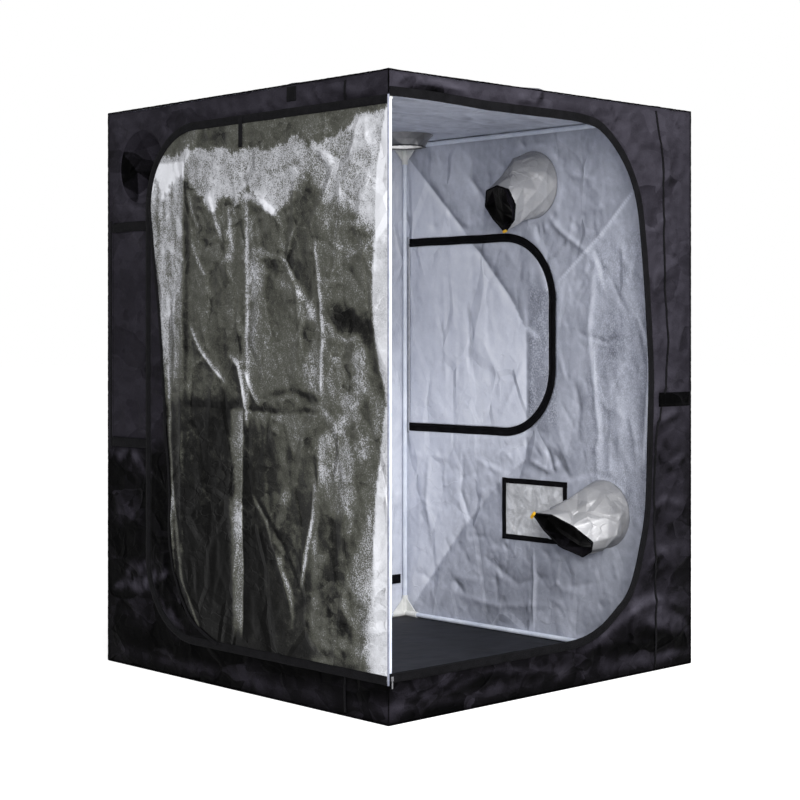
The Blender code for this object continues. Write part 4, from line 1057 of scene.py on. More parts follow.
def make_roof_and_floor():
    # Its last value is painted shading of folds by their slope
    roof = lay_cloth("roof_cloth", ROOF_BOX, WALL_STEP, ROOF, roof_rise, [nylon, wall_film], "tent",
                     ["roof_panel"], roof_margin, roof_tones, {"film_tone_and_painted_light": (0.3, -0.9, 0)})
    floor = lay_cloth("floor_cloth", ROOF_BOX, 0.03, FLOOR, lambda a, b: 0 * a, [nylon, nylon], "tent",
                      ["floor_panel"], None, lambda a, b: {"nylon_tone_and_painted_light": 0.4 + 0 * a})
    liner_face = Face(2, 1, LINER_TOP)
    box = (-LINER_HALF, LINER_HALF, -LINER_HALF, LINER_HALF)

    def liner_rise(a, b):
        room = edge_room(a, b, box)
        return 0.0012 * crumpled(a, b, 0.16, 61.0) * eased(room / 0.05) + 0.001 * eased(1 - room / 0.012)

    liner = lay_cloth("floor_liner_sheet", box, 0.012, liner_face, liner_rise, [liner_look, liner_look],
                      "tent", ["floor_liner"])


make_roof_and_floor()


# ---- Tapes, seams and zips


def evenly(points, step):
    """Even places along a line of points, each with the distance run to it."""
    lengths = [(q - p).length for p, q in zip(points, points[1:])]
    total = sum(lengths)
    count = max(2, round(total / step))
    spots, at, run = [], 0, 0.0
    for number in range(count + 1):
        want = total * number / count
        while at < len(lengths) - 1 and run + lengths[at] < want:
            run += lengths[at]
            at += 1
        spots.append((points[at].lerp(points[at + 1], (want - run) / lengths[at]), want))
    return spots


def walk(line, step):
    """Even places along a line with their direction and their distance run."""
    spots = evenly([Vector(p) for p in line], step)
    way = []
    for i, (spot, run) in enumerate(spots):
        ahead = spots[min(i + 1, len(spots) - 1)][0] - spots[max(i - 1, 0)][0]
        way.append((spot, ahead.normalized(), run))
    return way


def walk_in_space(line, step):
    """Even places along a line in space, each with two directions square to it and its distance run."""
    way, first = [], None
    for spot, ahead, run in walk(line, step):
        if first is None:
            first = ahead.orthogonal().normalized()
        first = (first - ahead * first.dot(ahead)).normalized()
        way.append((spot, first, ahead.cross(first), run))
    return way


def d_line(hinge, free, low, high, radius, inset):
    """The middle line of a tape that follows a D's round side."""
    side = math.copysign(1, free - hinge)
    free, low, high, radius = free - side * inset, low + inset, high - inset, radius - inset
    line = [(hinge, low)]
    turns = [math.radians(90) * step / 16 for step in range(17)]
    for turn in turns:
        line.append((free - side * radius * (1 - math.sin(turn)), low + radius * (1 - math.cos(turn))))
    for turn in turns:
        line.append((free - side * radius * (1 - math.cos(turn)), high - radius * (1 - math.sin(turn))))
    return line + [(hinge, high)]


TAPE_STEP = 0.01


def lay_tape(
    name, line, width, face, lift, look, body, replaced=(), thick=0.0012, crown=0.0005,
    rise=None, ruffle=0.0, wander=0.0, shift=0.0, wave=0.0,
):
    """A tape along a line on a face: slightly crowned, its cut kept for the weave and stitches.

    Lift is its underside's height, rise the cloth's own below it, ruffle its gathers, wave its slow waves
    off the cloth, wander how far the line wavers and shift how far the tape lies to one side of it.
    Its cut runs along it and across it, with 1 at the stitch line near its edge.
    """
    way = walk(line, TAPE_STEP)
    shape = bmesh.new()
    bmesh.ops.create_grid(shape, x_segments=len(way) - 1, y_segments=4, size=0.5)
    cut = shape.loops.layers.uv.new("cut")
    shape.verts.ensure_lookup_table()
    laid, places = [], {}
    for vert in shape.verts:
        column = round((vert.co.x + 0.5) * (len(way) - 1))
        across = vert.co.y * 2
        spot, ahead, run = way[column]
        side = Vector((-ahead.y, ahead.x))
        sway = wander * noise.noise(Vector((run / 0.1, lift * 100, 3.0)))
        laid.append((*(spot + side * (across * width / 2 + sway + shift)), across, run))
    below = rise(*np.array(laid).T[:2]) if rise else np.zeros(len(laid))
    for vert, (a, b, across, run), under in zip(shape.verts, laid, below):
        gather = ruffle * noise.noise(Vector((run / 0.03, across * 0.6, 7.0)))
        slow = wave * abs(noise.noise(Vector((run / 0.11, 1.0, 5.0))))
        height = float(under) + lift + crown * (1 - across * across) + abs(gather) + slow + thick
        places[vert] = (face.spot(a, b, height), (run, across * width / 2 / max(width / 2 - 0.003, 0.001)))
    for one in shape.faces:
        for loop in one.loops:
            loop[cut].uv = places[loop.vert][1]
    for vert, (spot, _) in places.items():
        vert.co = spot
    shape.normal_update()
    faces_out(shape, face.outward(), 8)
    return thicken(finish_piece(name, shape, [look], body, replaced), thick, inner_slot=0)


def close_tube(shape, sides, join):
    """Joins a rolled grid along its length and closes both its ends."""
    bmesh.ops.remove_doubles(shape, verts=shape.verts, dist=join)
    ends = [edge for edge in shape.edges if edge.is_boundary]
    bmesh.ops.holes_fill(shape, edges=ends, sides=sides + 2)
    bmesh.ops.recalc_face_normals(shape, faces=shape.faces)


COIL_RADIUS, COIL_PITCH, COIL_SIDES = 0.0018, 0.0035, 6


def lay_coil(name, line, face, lift, body):
    """The zip's coil along a tape: a thin ribbed cord of teeth."""
    way = walk(line, COIL_PITCH / 2)
    shape = bmesh.new()
    bmesh.ops.create_grid(shape, x_segments=len(way) - 1, y_segments=COIL_SIDES, size=0.5)
    for vert in shape.verts:
        column = round((vert.co.x + 0.5) * (len(way) - 1))
        angle = math.tau * (vert.co.y + 0.5)
        spot, ahead, _ = way[column]
        side = Vector((-ahead.y, ahead.x))
        swell = COIL_RADIUS * (1.0 if column % 2 else 0.68)
        a, b = spot + side * swell * 1.25 * math.cos(angle)
        vert.co = face.spot(a, b, lift + COIL_RADIUS + swell * math.sin(angle))
    close_tube(shape, COIL_SIDES, 0.00002)
    return finish_piece(name, shape, [zip_look], body)


def make_doorway_edge():
    tape = lay_tape("doorway_zip_tape", DOORWAY_LINE, 0.03, FRONT, 0.0004, tape_look, "tent",
                    ["doorway_zip_band"], thick=0.001, crown=0.0006, ruffle=0.0012, wander=0.0012,
                    shift=-0.0125, wave=0.003)
    lay_coil("doorway_zip_coil", DOORWAY_LINE, FRONT, 0.0012, "tent")
    left_line = [(-0.554, 1.985), (-0.554, 0.012)]
    for side, line, face, rise in (("front", FRONT_SEAM, FRONT, front_rise), ("left", left_line, LEFT, left_rise)):
        seam = lay_tape(side + "_seam", line, 0.01, face, 0.0002, tape_look, "tent",
                        thick=0.0012, crown=0.0006, ruffle=0.0008, wander=0.0015, rise=rise)


make_doorway_edge()


# ---- Door

DOOR_CUT = (0.0, DOOR_LENGTH - DOOR_INSET, DOOR_LOW + DOOR_INSET, DOOR_HIGH - DOOR_INSET, 0.274)

# Folds of the door's lining that both stand up and carry painted highlights
LONG_FOLD = [(0.332, 1.49), (0.318, 1.364), (0.299, 1.206), (0.308, 0.985)]
HOOKED_FOLD = [(0.778, 1.123), (0.724, 1.09), (0.697, 0.975), (0.687, 0.892)]
SHORT_FOLD = [(0.697, 1.074), (0.65, 0.993), (0.619, 0.96)]
SLANTED_FOLD = [(0.989, 1.221), (0.933, 1.139), (0.849, 1.069), (0.794, 1.029)]
HIGH_FOLD = [(0.893, 1.668), (0.855, 1.578), (0.811, 1.502)]
FOOT_FOLD = [(1.093, 0.679), (1.099, 0.547), (1.07, 0.307)]
# Its standing folds: each one's line out from the hinge and up, its width and its height
DOOR_RIDGES = [
    ([(1.035, 1.78), (1.035, 1.3), (1.04, 0.8), (1.045, 0.2)], 0.014, 0.005),
    ([(0.7, 1.66), (0.69, 1.3), (0.682, 0.97)], 0.012, 0.0045),
    (LONG_FOLD, 0.012, 0.006),
    ([(0.313, 0.859), (0.318, 0.733), (0.347, 0.604), (0.391, 0.473), (0.396, 0.371)], 0.013, 0.0075),
    (HOOKED_FOLD, 0.011, 0.007),
    (SHORT_FOLD, 0.01, 0.005),
    (SLANTED_FOLD, 0.011, 0.0055),
    ([(0.582, 0.586), (0.506, 0.43), (0.45, 0.285)], 0.011, 0.0055),
    ([(0.6, 0.66), (0.54, 0.52), (0.49, 0.47)], 0.01, 0.004),
    ([(0.02, 1.87), (0.15, 1.74), (0.3, 1.52), (0.36, 1.4)], 0.02, 0.006),
    ([(0.02, 1.88), (0.22, 1.8), (0.45, 1.66)], 0.02, 0.0055),
    ([(0.02, 1.86), (0.1, 1.66), (0.16, 1.44)], 0.018, 0.005),
    ([(0.687, 1.656), (0.598, 1.618), (0.536, 1.579), (0.5, 1.52)], 0.013, 0.006),
    ([(0.756, 1.63), (0.8, 1.5), (0.78, 1.36)], 0.012, 0.0045),
    (HIGH_FOLD, 0.012, 0.0045),
    (FOOT_FOLD, 0.011, 0.005),
    ([(0.751, 0.957), (0.746, 0.64), (0.756, 0.306), (0.767, 0.145)], 0.04, 0.0055),
    ([(0.15, 1.17), (0.1, 1.05), (0.15, 0.93), (0.1, 0.8)], 0.03, 0.005),
    ([(0.27, 0.8), (0.2, 0.66), (0.22, 0.4), (0.14, 0.2)], 0.03, 0.005),
    ([(1.05, 0.955), (0.8, 0.945), (0.5, 0.935), (0.2, 0.95)], 0.012, -0.0045),
    ([(0.5, 1.43), (0.42, 1.33), (0.33, 1.22)], 0.014, 0.005),
    ([(0.62, 1.47), (0.5, 1.45), (0.4, 1.33)], 0.012, -0.004),
]
DOOR_STRAYS = strewn(
    (11, 60, (0.05, 1.2, 1.0, 1.8), (100, 32), (0.05, 0.22), 0.014, 0.0034),
    (12, 34, (0.05, 1.2, 1.45, 1.85), (20, 25), (0.05, 0.18), 0.012, 0.003),
    (13, 56, (0.05, 1.15, 0.16, 1.02), (95, 20), (0.08, 0.34), 0.016, 0.0034),
    (14, 24, (0.05, 1.15, 0.85, 1.15), (10, 25), (0.05, 0.16), 0.012, 0.0034),
)
# Painted highlights where its folds shine: line, width and strength
DOOR_GLEAMS = [
    ([(0.289, 1.237), (0.251, 1.193), (0.195, 1.171), (0.139, 1.184)], 0.01, 0.24),
    ([(0.279, 1.061), (0.256, 1.012), (0.195, 0.994)], 0.016, 0.22),
    ([(0.66, 0.662), (0.587, 0.586), (0.551, 0.507), (0.501, 0.424), (0.46, 0.364), (0.45, 0.275)], 0.008, 0.42),
    ([(0.332, 0.725), (0.342, 0.614), (0.376, 0.474), (0.411, 0.375)], 0.008, 0.7),
    ([(0.313, 0.685), (0.323, 0.606), (0.337, 0.494)], 0.008, 0.25),
    ([(0.681, 1.65), (0.603, 1.612), (0.536, 1.583)], 0.009, 0.34),
    ([(0.536, 1.583), (0.495, 1.613), (0.46, 1.634)], 0.006, 0.2),
    ([(0.144, 1.637), (0.075, 1.511), (0.075, 1.327)], 0.04, 0.1),
    ([(0.19, 1.764), (0.021, 1.848)], 0.024, 0.1),
    ([(1.093, 1.155), (1.058, 0.896), (1.041, 0.275)], 0.02, 0.18),
    ([(0.688, 1.653), (0.683, 1.306), (0.678, 0.975)], 0.008, 0.35),
    ([(0.645, 1.453), (0.634, 1.206)], 0.03, 0.22),
    ([(0.531, 1.385), (0.416, 1.318), (0.328, 1.222)], 0.028, 0.28),
    (LONG_FOLD, 0.007, 0.6),
    (SLANTED_FOLD, 0.007, 0.6),
    (HOOKED_FOLD, 0.008, 0.8),
    (SHORT_FOLD, 0.007, 0.5),
    ([(1.012, 1.696), (0.983, 1.612), (0.949, 1.555)], 0.008, 0.4),
    (HIGH_FOLD, 0.01, 0.4),
    ([(0.783, 1.618), (0.773, 1.541), (0.767, 1.464)], 0.008, 0.5),
    ([(0.756, 1.63), (0.687, 1.656), (0.598, 1.618), (0.536, 1.579)], 0.012, 0.4),
    (FOOT_FOLD, 0.007, 0.55),
    ([(0.989, 1.516), (0.949, 1.439), (0.916, 1.394)], 0.008, 0.35),
    ([(0.811, 1.435), (0.778, 1.458), (0.762, 1.434)], 0.01, 0.35),
    ([(0.52, 0.93), (0.5, 0.76), (0.48, 0.64)], 0.03, 0.16),
]
# Painted highlights on its flats: outline and strength
DOOR_LIT_FLATS = [
    ([(0.485, 1.296), (0.347, 1.276), (0.318, 1.206), (0.376, 1.206), (0.435, 1.238)], 0.16),
    ([(0.318, 1.199), (0.299, 1.067), (0.328, 0.997), (0.396, 1.034), (0.396, 1.091), (0.347, 1.174)], 0.26),
    ([(0.139, 1.181), (0.102, 1.15), (0.111, 1.082), (0.084, 1.034), (0.111, 0.978), (0.195, 0.957),
      (0.232, 0.981), (0.157, 1.02), (0.176, 1.082)], 0.32),
    ([(0.195, 0.957), (0.139, 0.983), (0.121, 0.935), (0.195, 0.895), (0.148, 0.798), (0.157, 0.736),
      (0.308, 0.72), (0.318, 0.764), (0.328, 0.864), (0.251, 0.899), (0.308, 0.947), (0.376, 0.964),
      (0.308, 0.966), (0.232, 0.918)], 0.32),
    ([(0.157, 0.859), (0.089, 0.875), (0.084, 0.82), (0.121, 0.793), (0.148, 0.835)], 0.3),
    ([(0.075, 1.028), (0.021, 0.987), (0.03, 0.901), (0.066, 0.876), (0.075, 0.961)], 0.16),
    ([(0.692, 0.948), (0.572, 0.945), (0.587, 0.912), (0.671, 0.916)], 0.24),
    ([(0.639, 0.91), (0.577, 0.919), (0.587, 0.814), (0.618, 0.8)], 0.1),
    ([(0.495, 0.922), (0.396, 0.913), (0.406, 0.804), (0.485, 0.832)], 0.12),
    ([(0.692, 1.279), (0.639, 1.279), (0.639, 1.141), (0.692, 1.12)], 0.12),
    ([(0.337, 0.535), (0.289, 0.498), (0.313, 0.379), (0.265, 0.297), (0.195, 0.243), (0.218, 0.162),
      (0.352, 0.144), (0.362, 0.254), (0.352, 0.375)], 0.2),
    ([(0.071, 0.671), (0.071, 0.182), (0.195, 0.165), (0.218, 0.234), (0.148, 0.279), (0.218, 0.349),
      (0.171, 0.472), (0.116, 0.569)], 0.22),
    ([(0.289, 0.718), (0.148, 0.727), (0.139, 0.65), (0.171, 0.565), (0.195, 0.64), (0.241, 0.612),
      (0.275, 0.672)], 0.2),
    ([(0.551, 0.67), (0.46, 0.701), (0.501, 0.576), (0.526, 0.542)], 0.18),
    ([(0.978, 1.543), (0.91, 1.496), (0.827, 1.51), (0.816, 1.435), (0.893, 1.451), (0.961, 1.481)], 0.12),
    ([(0.681, 1.431), (0.572, 1.402), (0.603, 1.337), (0.676, 1.306)], 0.14),
    ([(0.562, 1.395), (0.411, 1.34), (0.362, 1.301), (0.511, 1.316)], 0.12),
    ([(0.265, 1.463), (0.162, 1.484), (0.144, 1.415), (0.218, 1.417)], 0.12),
]
# Painted shade in its creases and hollows: line, width and strength
DOOR_SHADES = [
    ([(1.012, 1.79), (1.012, 1.3), (1.018, 0.95)], 0.014, 0.16),
    ([(0.85, 0.9), (0.98, 0.6), (0.9, 0.3)], 0.07, 0.06),
    ([(0.69, 0.96), (0.69, 0.15)], 0.01, 0.1),
    ([(1.05, 0.955), (0.8, 0.945), (0.5, 0.935)], 0.016, 0.14),
    ([(0.6, 1.45), (0.46, 1.33), (0.3, 1.1)], 0.04, 0.12),
    ([(0.25, 1.24), (0.06, 1.2)], 0.05, 0.12),
    ([(0.23, 1.02), (0.06, 0.95)], 0.04, 0.1),
    ([(0.72, 1.06), (0.85, 1.18)], 0.03, 0.08),
    ([(0.587, 0.991), (0.455, 1.013), (0.347, 0.99), (0.318, 0.966)], 0.013, 0.2),
    ([(0.289, 1.281), (0.195, 1.249), (0.111, 1.199), (0.062, 1.083), (0.021, 0.993)], 0.035, 0.12),
    ([(0.639, 0.657), (0.562, 0.581), (0.485, 0.497), (0.411, 0.382), (0.386, 0.34)], 0.008, 0.14),
    ([(0.613, 1.724), (0.526, 1.725), (0.411, 1.749)], 0.007, 0.16),
    ([(0.629, 1.712), (0.618, 1.666)], 0.006, 0.14),
    ([(0.703, 0.643), (0.703, 0.179)], 0.007, 0.12),
    ([(0.265, 0.234), (0.195, 0.196)], 0.01, 0.16),
]
# Where the lining stops short of the door's free side, from the top down
DOOR_FILM_EDGE = [
    (1.24, 1.68), (1.228, 1.596), (1.213, 1.5), (1.189, 1.338), (1.17, 1.218), (1.158, 1.102), (1.143, 0.963),
    (1.135, 0.83), (1.118, 0.723), (1.108, 0.616), (1.112, 0.507), (1.1, 0.425), (1.075, 0.344),
    (1.045, 0.273), (0.996, 0.221), (0.938, 0.18), (0.843, 0.146),
]
# The painted highlight band under the top fold: its upper and lower edges' heights, and how softly it fades below
DOOR_BAND_TOP = (
    (-0.01, 0.08, 0.19, 0.28, 0.45, 0.66, 0.85, 0.99, 1.2),
    (1.9, 1.87, 1.825, 1.8, 1.815, 1.8, 1.826, 1.832, 1.8),
)
DOOR_BAND_LOW = (
    (0.02, 0.17, 0.33, 0.45, 0.55, 0.69, 0.75, 0.89, 0.99, 1.2),
    (1.5, 1.56, 1.63, 1.64, 1.58, 1.66, 1.63, 1.62, 1.7, 1.7),
)
DOOR_BAND_FADE = ((0.0, 0.4, 0.5), (0.16, 0.12, 0.03))
# Heights, and how far out from the hinge its painted highlight strip and the painted gleam by the free side reach
DOOR_HINGE_STRIP = (
    (0.12, 0.256, 0.441, 0.625, 0.748, 0.871, 0.978, 1.008, 1.083, 1.205, 1.297, 1.358, 1.602, 1.723, 1.814, 1.887),
    (0.088, 0.078, 0.066, 0.058, 0.047, 0.033, 0.006, 0.012, 0.04, 0.066, 0.074, 0.07, 0.055, 0.044, 0.024, 0.008),
)
DOOR_GLEAM_EDGE = ((0.2, 0.261, 0.341, 0.571, 0.824, 1.033, 1.2), (0.95, 0.99, 1.04, 1.08, 1.11, 1.118, 1.13))


def door_margin(out, height):
    """How far a place is inside the door's cut."""
    return -round_end(out, height, *DOOR_CUT)


def door_fold(out, height):
    """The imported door's standing creases, as its solid has them."""
    bulge = np.zeros(np.shape(out))
    for number, crease in enumerate(DOOR_CREASES):
        lean = 0.0075 * np.sin(math.tau * height / DOOR_WAVE)
        near = np.exp(-np.abs(out - crease + lean) / 0.075)
        bulge += (-1) ** number * near * (0.75 + 0.25 * np.cos(math.tau * height / DOOR_WAVE + number))
    bulge += 0.35 * np.sin(math.tau * (out / DOOR_LENGTH + height / DOOR_WAVE))
    return np.clip(bulge, -1.0, 1.0)


def door_rise(out, height):
    inside = door_margin(out, height) - DOOR_BAND
    folds = 0.006 * door_fold(out, height) + 1.1 * sharp_folds(out, height, DOOR_RIDGES)
    folds += 0.003 * rolling(out, height, 0.2, 71.0, 3, 1.6) + 0.002 * crumpled(out, height, 0.12, 73.0, 4, 1.5)
    folds += sharp_folds(out, height, DOOR_STRAYS)
    hold = eased(inside / 0.06) * past(out, 0.012, 0.05)
    return 0.0009 + np.clip(folds * hold, -0.0075, 0.016)


def door_tone(out, height):
    """Painted reflection on the lining: the bright band under its top fold, the ridges and the hinge strip, and
    painted shade.
    """
    ragged = 0.03 * rolling(out, height, 0.1, 81.0, 4) + 0.012 * crumpled(out, height, 0.03, 83.0)
    top, low = np.interp(out, *DOOR_BAND_TOP), np.interp(out, *DOOR_BAND_LOW)
    fade = np.interp(out, *DOOR_BAND_FADE)
    band = eased((top + ragged - height) / 0.012) * eased((height - low + 0.4 * fade - 1.6 * ragged) / fade)
    tone = 0.25 + 0.43 * band - 0.06 * before(height, 1.75, 0.1) * past(out, 0.7, 0.02) * (1 - band)
    tone -= 0.15 * before(height, 1.02, 0.1) * past(out, 0.36, 0.3) + 0.05 * before(height, 0.55, 0.3)
    tone += 0.055 * past(height, 0.85, 0.15) * before(height, 1.76, 0.1)

    # The painted highlight strip beyond the last crease, tapering downwards, and the painted gleam that goes on below
    # it
    strip = past(out, 1.03, 0.006) * eased((height - 0.99 - ragged) / 0.16) * before(height, 1.8, 0.02)
    taper = np.interp(height, (0.98, 1.1, 1.3), (0.35, 0.75, 1.0))
    taper += 0.25 * past(out, 1.11, 0.03) * before(height, 1.35, 0.2)
    tone += (0.38 + 0.24 * rolling(out, height, 0.03, 85.0, 3, 6.0)) * strip * taper
    gleam_edge = np.interp(height, *DOOR_GLEAM_EDGE)
    tone += 0.42 * np.exp(-(((out - gleam_edge) / 0.009) ** 2)) * before(height, 1.12, 0.1)

    # The painted highlight strip beside the hinge
    hinge = np.interp(height, *DOOR_HINGE_STRIP)
    edge = 0.01 + 0.05 * before(height, 0.55, 0.3)
    tone += 0.54 * eased((hinge + 0.2 * ragged - out) / edge + 0.5) * before(height, 1.895, 0.02)
    tone += 0.16 * np.exp(-((np.maximum(out - hinge, 0) / 0.045) ** 2)) * before(height, 0.85, 0.2)

    # Painted gleams on the folds, the long painted lit streak beside the middle crease, painted highlights on the
    # flats and painted shade in the creases
    tone += drawn(out, height, DOOR_GLEAMS) * (0.8 + 0.5 * rolling(out, height, 0.03, 87.0, 3, 3.0))
    streak = past(out, 0.703, 0.004) * (1 - past(out, 0.722, 0.075))
    streak *= before(height, 0.97, 0.03) * past(height, 0.14, 0.1)
    tone += 0.55 * streak * (0.85 + 0.3 * rolling(out, height, 0.05, 86.0, 3, 4.0))
    tone += 0.1 * np.maximum(crumpled(out, height, 0.07, 89.0, 4) - 0.35, 0)
    tone += 0.05 * rolling(out, height, 0.18, 91.0)
    mottled = 0.85 + 0.5 * rolling(out, height, 0.04, 88.0, 3)
    for outline, strength in DOOR_LIT_FLATS:
        tone += strength * lit_patch(out, height, outline, 0.03) * mottled
    tone -= drawn(out, height, DOOR_SHADES)
    # Painted shade low down, away from the hinge strip and the streak
    by_hinge = before(out, hinge + 0.1, 0.05)
    return tone - 0.1 * before(height, 0.9, 0.4) * (1 - by_hinge) * (1 - 0.8 * streak)


@dataclass
class DoorFace(Face):
    """A side of the open door's own plane, measured out from its hinge and up."""

    def spot(self, out, height, lift):
        return (DOOR_AXIS.x + self.side * lift, DOOR_AXIS.y + out, height)


OPEN_DOOR = DoorFace(0, -1, -DOOR_AXIS.x)
DOOR_BACK = DoorFace(0, 1, -DOOR_AXIS.x)


def make_door():
    def tones(out, height):
        return {"film_tone_and_painted_light": door_tone(out, height), "nylon_tone_and_painted_light": 0.5 + 0.1 * rolling(out, height, 0.2, 95.0)}

    box = (0.004, *DOOR_CUT[1:4])
    # Its last value is painted shading of folds by their slope
    cloth = lay_cloth("door_cloth", box, DOOR_STEP, OPEN_DOOR, door_rise, [door_film_painted_reflection, nylon], "door",
                      ["door_panel"], door_margin, tones, {"film_tone_and_painted_light": (0, -0.45, 0.55)})

    facing_line = softened(DOOR_FILM_EDGE)
    film_outline = [(-0.2, 2.0), (1.24, 2.0)] + facing_line + [(0.7, 0.13), (-0.2, 0.13)]

    def facing_margin(out, height):
        return np.minimum(outline_away(out, height, film_outline), door_margin(out, height) - 0.022)

    def facing_rise(out, height):
        return door_rise(out, height) + 0.0013

    def facing_tones(out, height):
        return {"nylon_tone_and_painted_light": left_nylon(out + DOOR_AXIS.y, height) - 0.04}

    facing = lay_cloth("door_edge_facing", (0.7, 1.246, 0.12, 1.7), DOOR_STEP, OPEN_DOOR, facing_rise,
                       [nylon, nylon], "door", (), facing_margin, facing_tones, thick=THIN_CLOTH)
    binding = lay_tape("door_film_binding", facing_line, 0.013, OPEN_DOOR, 0.0016, tape_look, "door",
                       thick=THIN_CLOTH, crown=0.0004, ruffle=0.0006, wander=0.001, rise=door_rise)

    outer = (0.004, DOOR_LENGTH, DOOR_LOW, DOOR_HIGH, 0.28)
    middle = d_line(*outer, DOOR_BAND / 2)
    front = lay_tape("door_zip_tape", middle, DOOR_BAND, OPEN_DOOR, 0.001, tape_look, "door",
                     ["door_zip_band"], thick=0.001, crown=0.0008, ruffle=0.0008, wander=0.001)
    back = lay_tape("door_zip_tape_back", middle, DOOR_BAND, DOOR_BACK, 0.001, tape_look, "door",
                    thick=0.001, ruffle=0.0003)
    lay_coil("door_zip_coil", d_line(*outer, 0.0022), OPEN_DOOR, -0.0018, "door")


make_door()


STRIP_SIDES = 10


def round_strip(name, line, radius, look, body, step=0.01, gather=0.0):
    """A filled round edging along a line in space."""
    way = walk_in_space(line, step)
    rows = len(way) - 1
    shape = bmesh.new()
    bmesh.ops.create_grid(shape, x_segments=rows, y_segments=STRIP_SIDES, size=0.5)
    cut = shape.loops.layers.uv.new("cut")
    kept = {}
    for vert in shape.verts:
        row = round((vert.co.x + 0.5) * rows)
        angle = math.tau * (vert.co.y + 0.5)
        spot, first, second, run = way[row]
        swell = radius * (1 + gather * noise.noise(Vector((run / 0.012, math.cos(angle), 5.0))))
        kept[vert] = (run, vert.co.y * 2)
        vert.co = spot + first * swell * math.cos(angle) + second * swell * math.sin(angle)
    for one in shape.faces:
        for loop in one.loops:
            loop[cut].uv = kept[loop.vert]
    close_tube(shape, STRIP_SIDES, 0.00001)
    return finish_piece(name, shape, [look], body)


# ---- Windows, vent and what lies by them

RIGHT_IN, LEFT_IN, REAR_IN = Face(0, -1, -INNER), Face(0, 1, -INNER), Face(1, -1, -INNER)
WINDOW_FOLDS = [
    ([(0.52, 1.5), (0.5, 0.9)], 0.008, -0.003),
    (PANE_CREASE, 0.014, 0.004),
    ([(0.3, 1.3), (0.19, 1.551)], 0.01, 0.003),
    ([(0.2, 0.84), (0.12, 0.98), (0.06, 1.1)], 0.008, -0.004),
]


def window_margin(a, b):
    """How far a place is inside a window's sheet, which reaches its hinge."""
    return -round_end(a, b, WINDOW[0] + WINDOW_INSET, *WINDOW[1:]) - WINDOW_INSET


def right_window_rise(a, b):
    lift = 0.0012 * rolling(a, b, 0.3, 101.0, 2) + sharp_folds(a, b, RIGHT_FOLDS + RIGHT_STRAYS + WINDOW_FOLDS)
    lift += 0.0007 * crumpled(a, b, 0.085, 43.0, 4, 1.5)
    return np.clip(lift, -0.007, 0.006) * eased(window_margin(a, b) / 0.04)


def left_window_rise(a, b):
    lift = 0.0022 * rolling(a, b, 0.2, 111.0) + 0.0018 * crumpled(a, b, 0.09, 113.0)
    return lift * eased(window_margin(a, b) / 0.04)


def make_window(side, face, inner, rise, tones):
    """A window's sheet, its tapes inside and outside, its zip's coil and its hinge's seams."""
    hinge, free, low, high, _ = WINDOW
    box = (free, hinge, low, high)
    # Its last value is painted shading of folds by their slope
    panel = lay_cloth(side + "_window_cloth", box, 0.01, face, rise, [nylon, wall_film], side + "_window",
                      [side + "_window_panel"], window_margin, tones, {"film_tone_and_painted_light": (0, 0.9, -0.7)})
    middle = d_line(*WINDOW, 0.016)
    for name, on, replaced in (("_window_zip_tape", inner, [side + "_window_zip_band"]), ("_window_tape", face, [])):
        lift = 0.0003 if on is inner else 0.0006
        tape = lay_tape(side + name, middle, 0.034, on, lift, tape_look, "tent", replaced,
                        thick=0.0012, crown=0.0007, ruffle=0.0008, wander=0.0015)
    lay_coil(side + "_window_zip_coil", d_line(*WINDOW, 0.024), inner, 0.0018, "tent")
    seams = (
        ("_window_seam_inner", inner, hinge + 0.007, hinge_look, "silver_lining"),
        ("_window_seam", face, hinge + 0.0102, tape_look, "black_tape"),
    )
    for name, on, across, look, slot in seams:
        line = [(across, low - 0.01), (across, high + 0.01)]
        seam = lay_tape(side + name, line, 0.012, on, 0.0002, look, "tent", thick=THIN_CLOTH)


make_window("right", RIGHT, RIGHT_IN, right_window_rise, right_tones)
make_window("left", LEFT, LEFT_IN, left_window_rise, left_tones)


def make_vent():
    low_y, high_y, low_z, high_z = VENT
    box = (low_y + 0.004, high_y - 0.004, low_z + 0.004, high_z - 0.004)

    def rise(a, b):
        hold = eased(edge_room(a, b, box) / 0.02)
        return hold * (0.0025 * rolling(a, b, 0.06, 121.0) + 0.002 * crumpled(a, b, 0.05, 123.0))

    gauze = lay_cloth("vent_gauze", box, 0.006, Face(0, -1, -VENT_GAUZE_OUT), rise, [gauze_look, gauze_look], "tent",
                      ["vent_screen"], thick=THIN_CLOTH)

    # Each tape's middle line runs inset from the vent's outline, and the tape on to its corners
    inset = 0.0105
    near_y, far_y, near_z, far_z = low_y + inset, high_y - inset, low_z + inset, high_z - inset
    ends = [(near_y, near_z), (far_y, near_z), (far_y, far_z), (near_y, far_z)]
    for number in range(4):
        (a0, b0), (a1, b1) = ends[number], ends[(number + 1) % 4]
        length = math.dist((a0, b0), (a1, b1)) + 2 * inset
        grow = inset / (length - 2 * inset)
        line = [(a0 + (a0 - a1) * grow, b0 + (b0 - b1) * grow), (a1 + (a1 - a0) * grow, b1 + (b1 - b0) * grow)]
        lift = 0.0008 + 0.0009 * (number % 2)
        tape = lay_tape(f"vent_tape_{number}", line, 0.021, RIGHT_IN, lift, tape_look, "tent",
                        ["vent_frame_band"] if number == 0 else (), thick=0.0011, ruffle=0.0006, wander=0.002)

    def flap_rise(a, b):
        hold = past(a, VENT_FLAP[0], 0.03) * past(b, VENT_FLAP[2], 0.02)
        return 0.0012 * hold * crumpled(a, b, 0.09, 127.0)

    def flap_tones(a, b):
        return {"nylon_tone_and_painted_light": 0.5 + 0.1 * rolling(a, b, 0.1, 128.0)}

    flap = lay_cloth("vent_flap_cloth", VENT_FLAP, 0.01, Face(0, 1, VENT_FLAP_OUT), flap_rise, [nylon, nylon],
                     "vent_cover", ["vent_flap"], None, flap_tones)


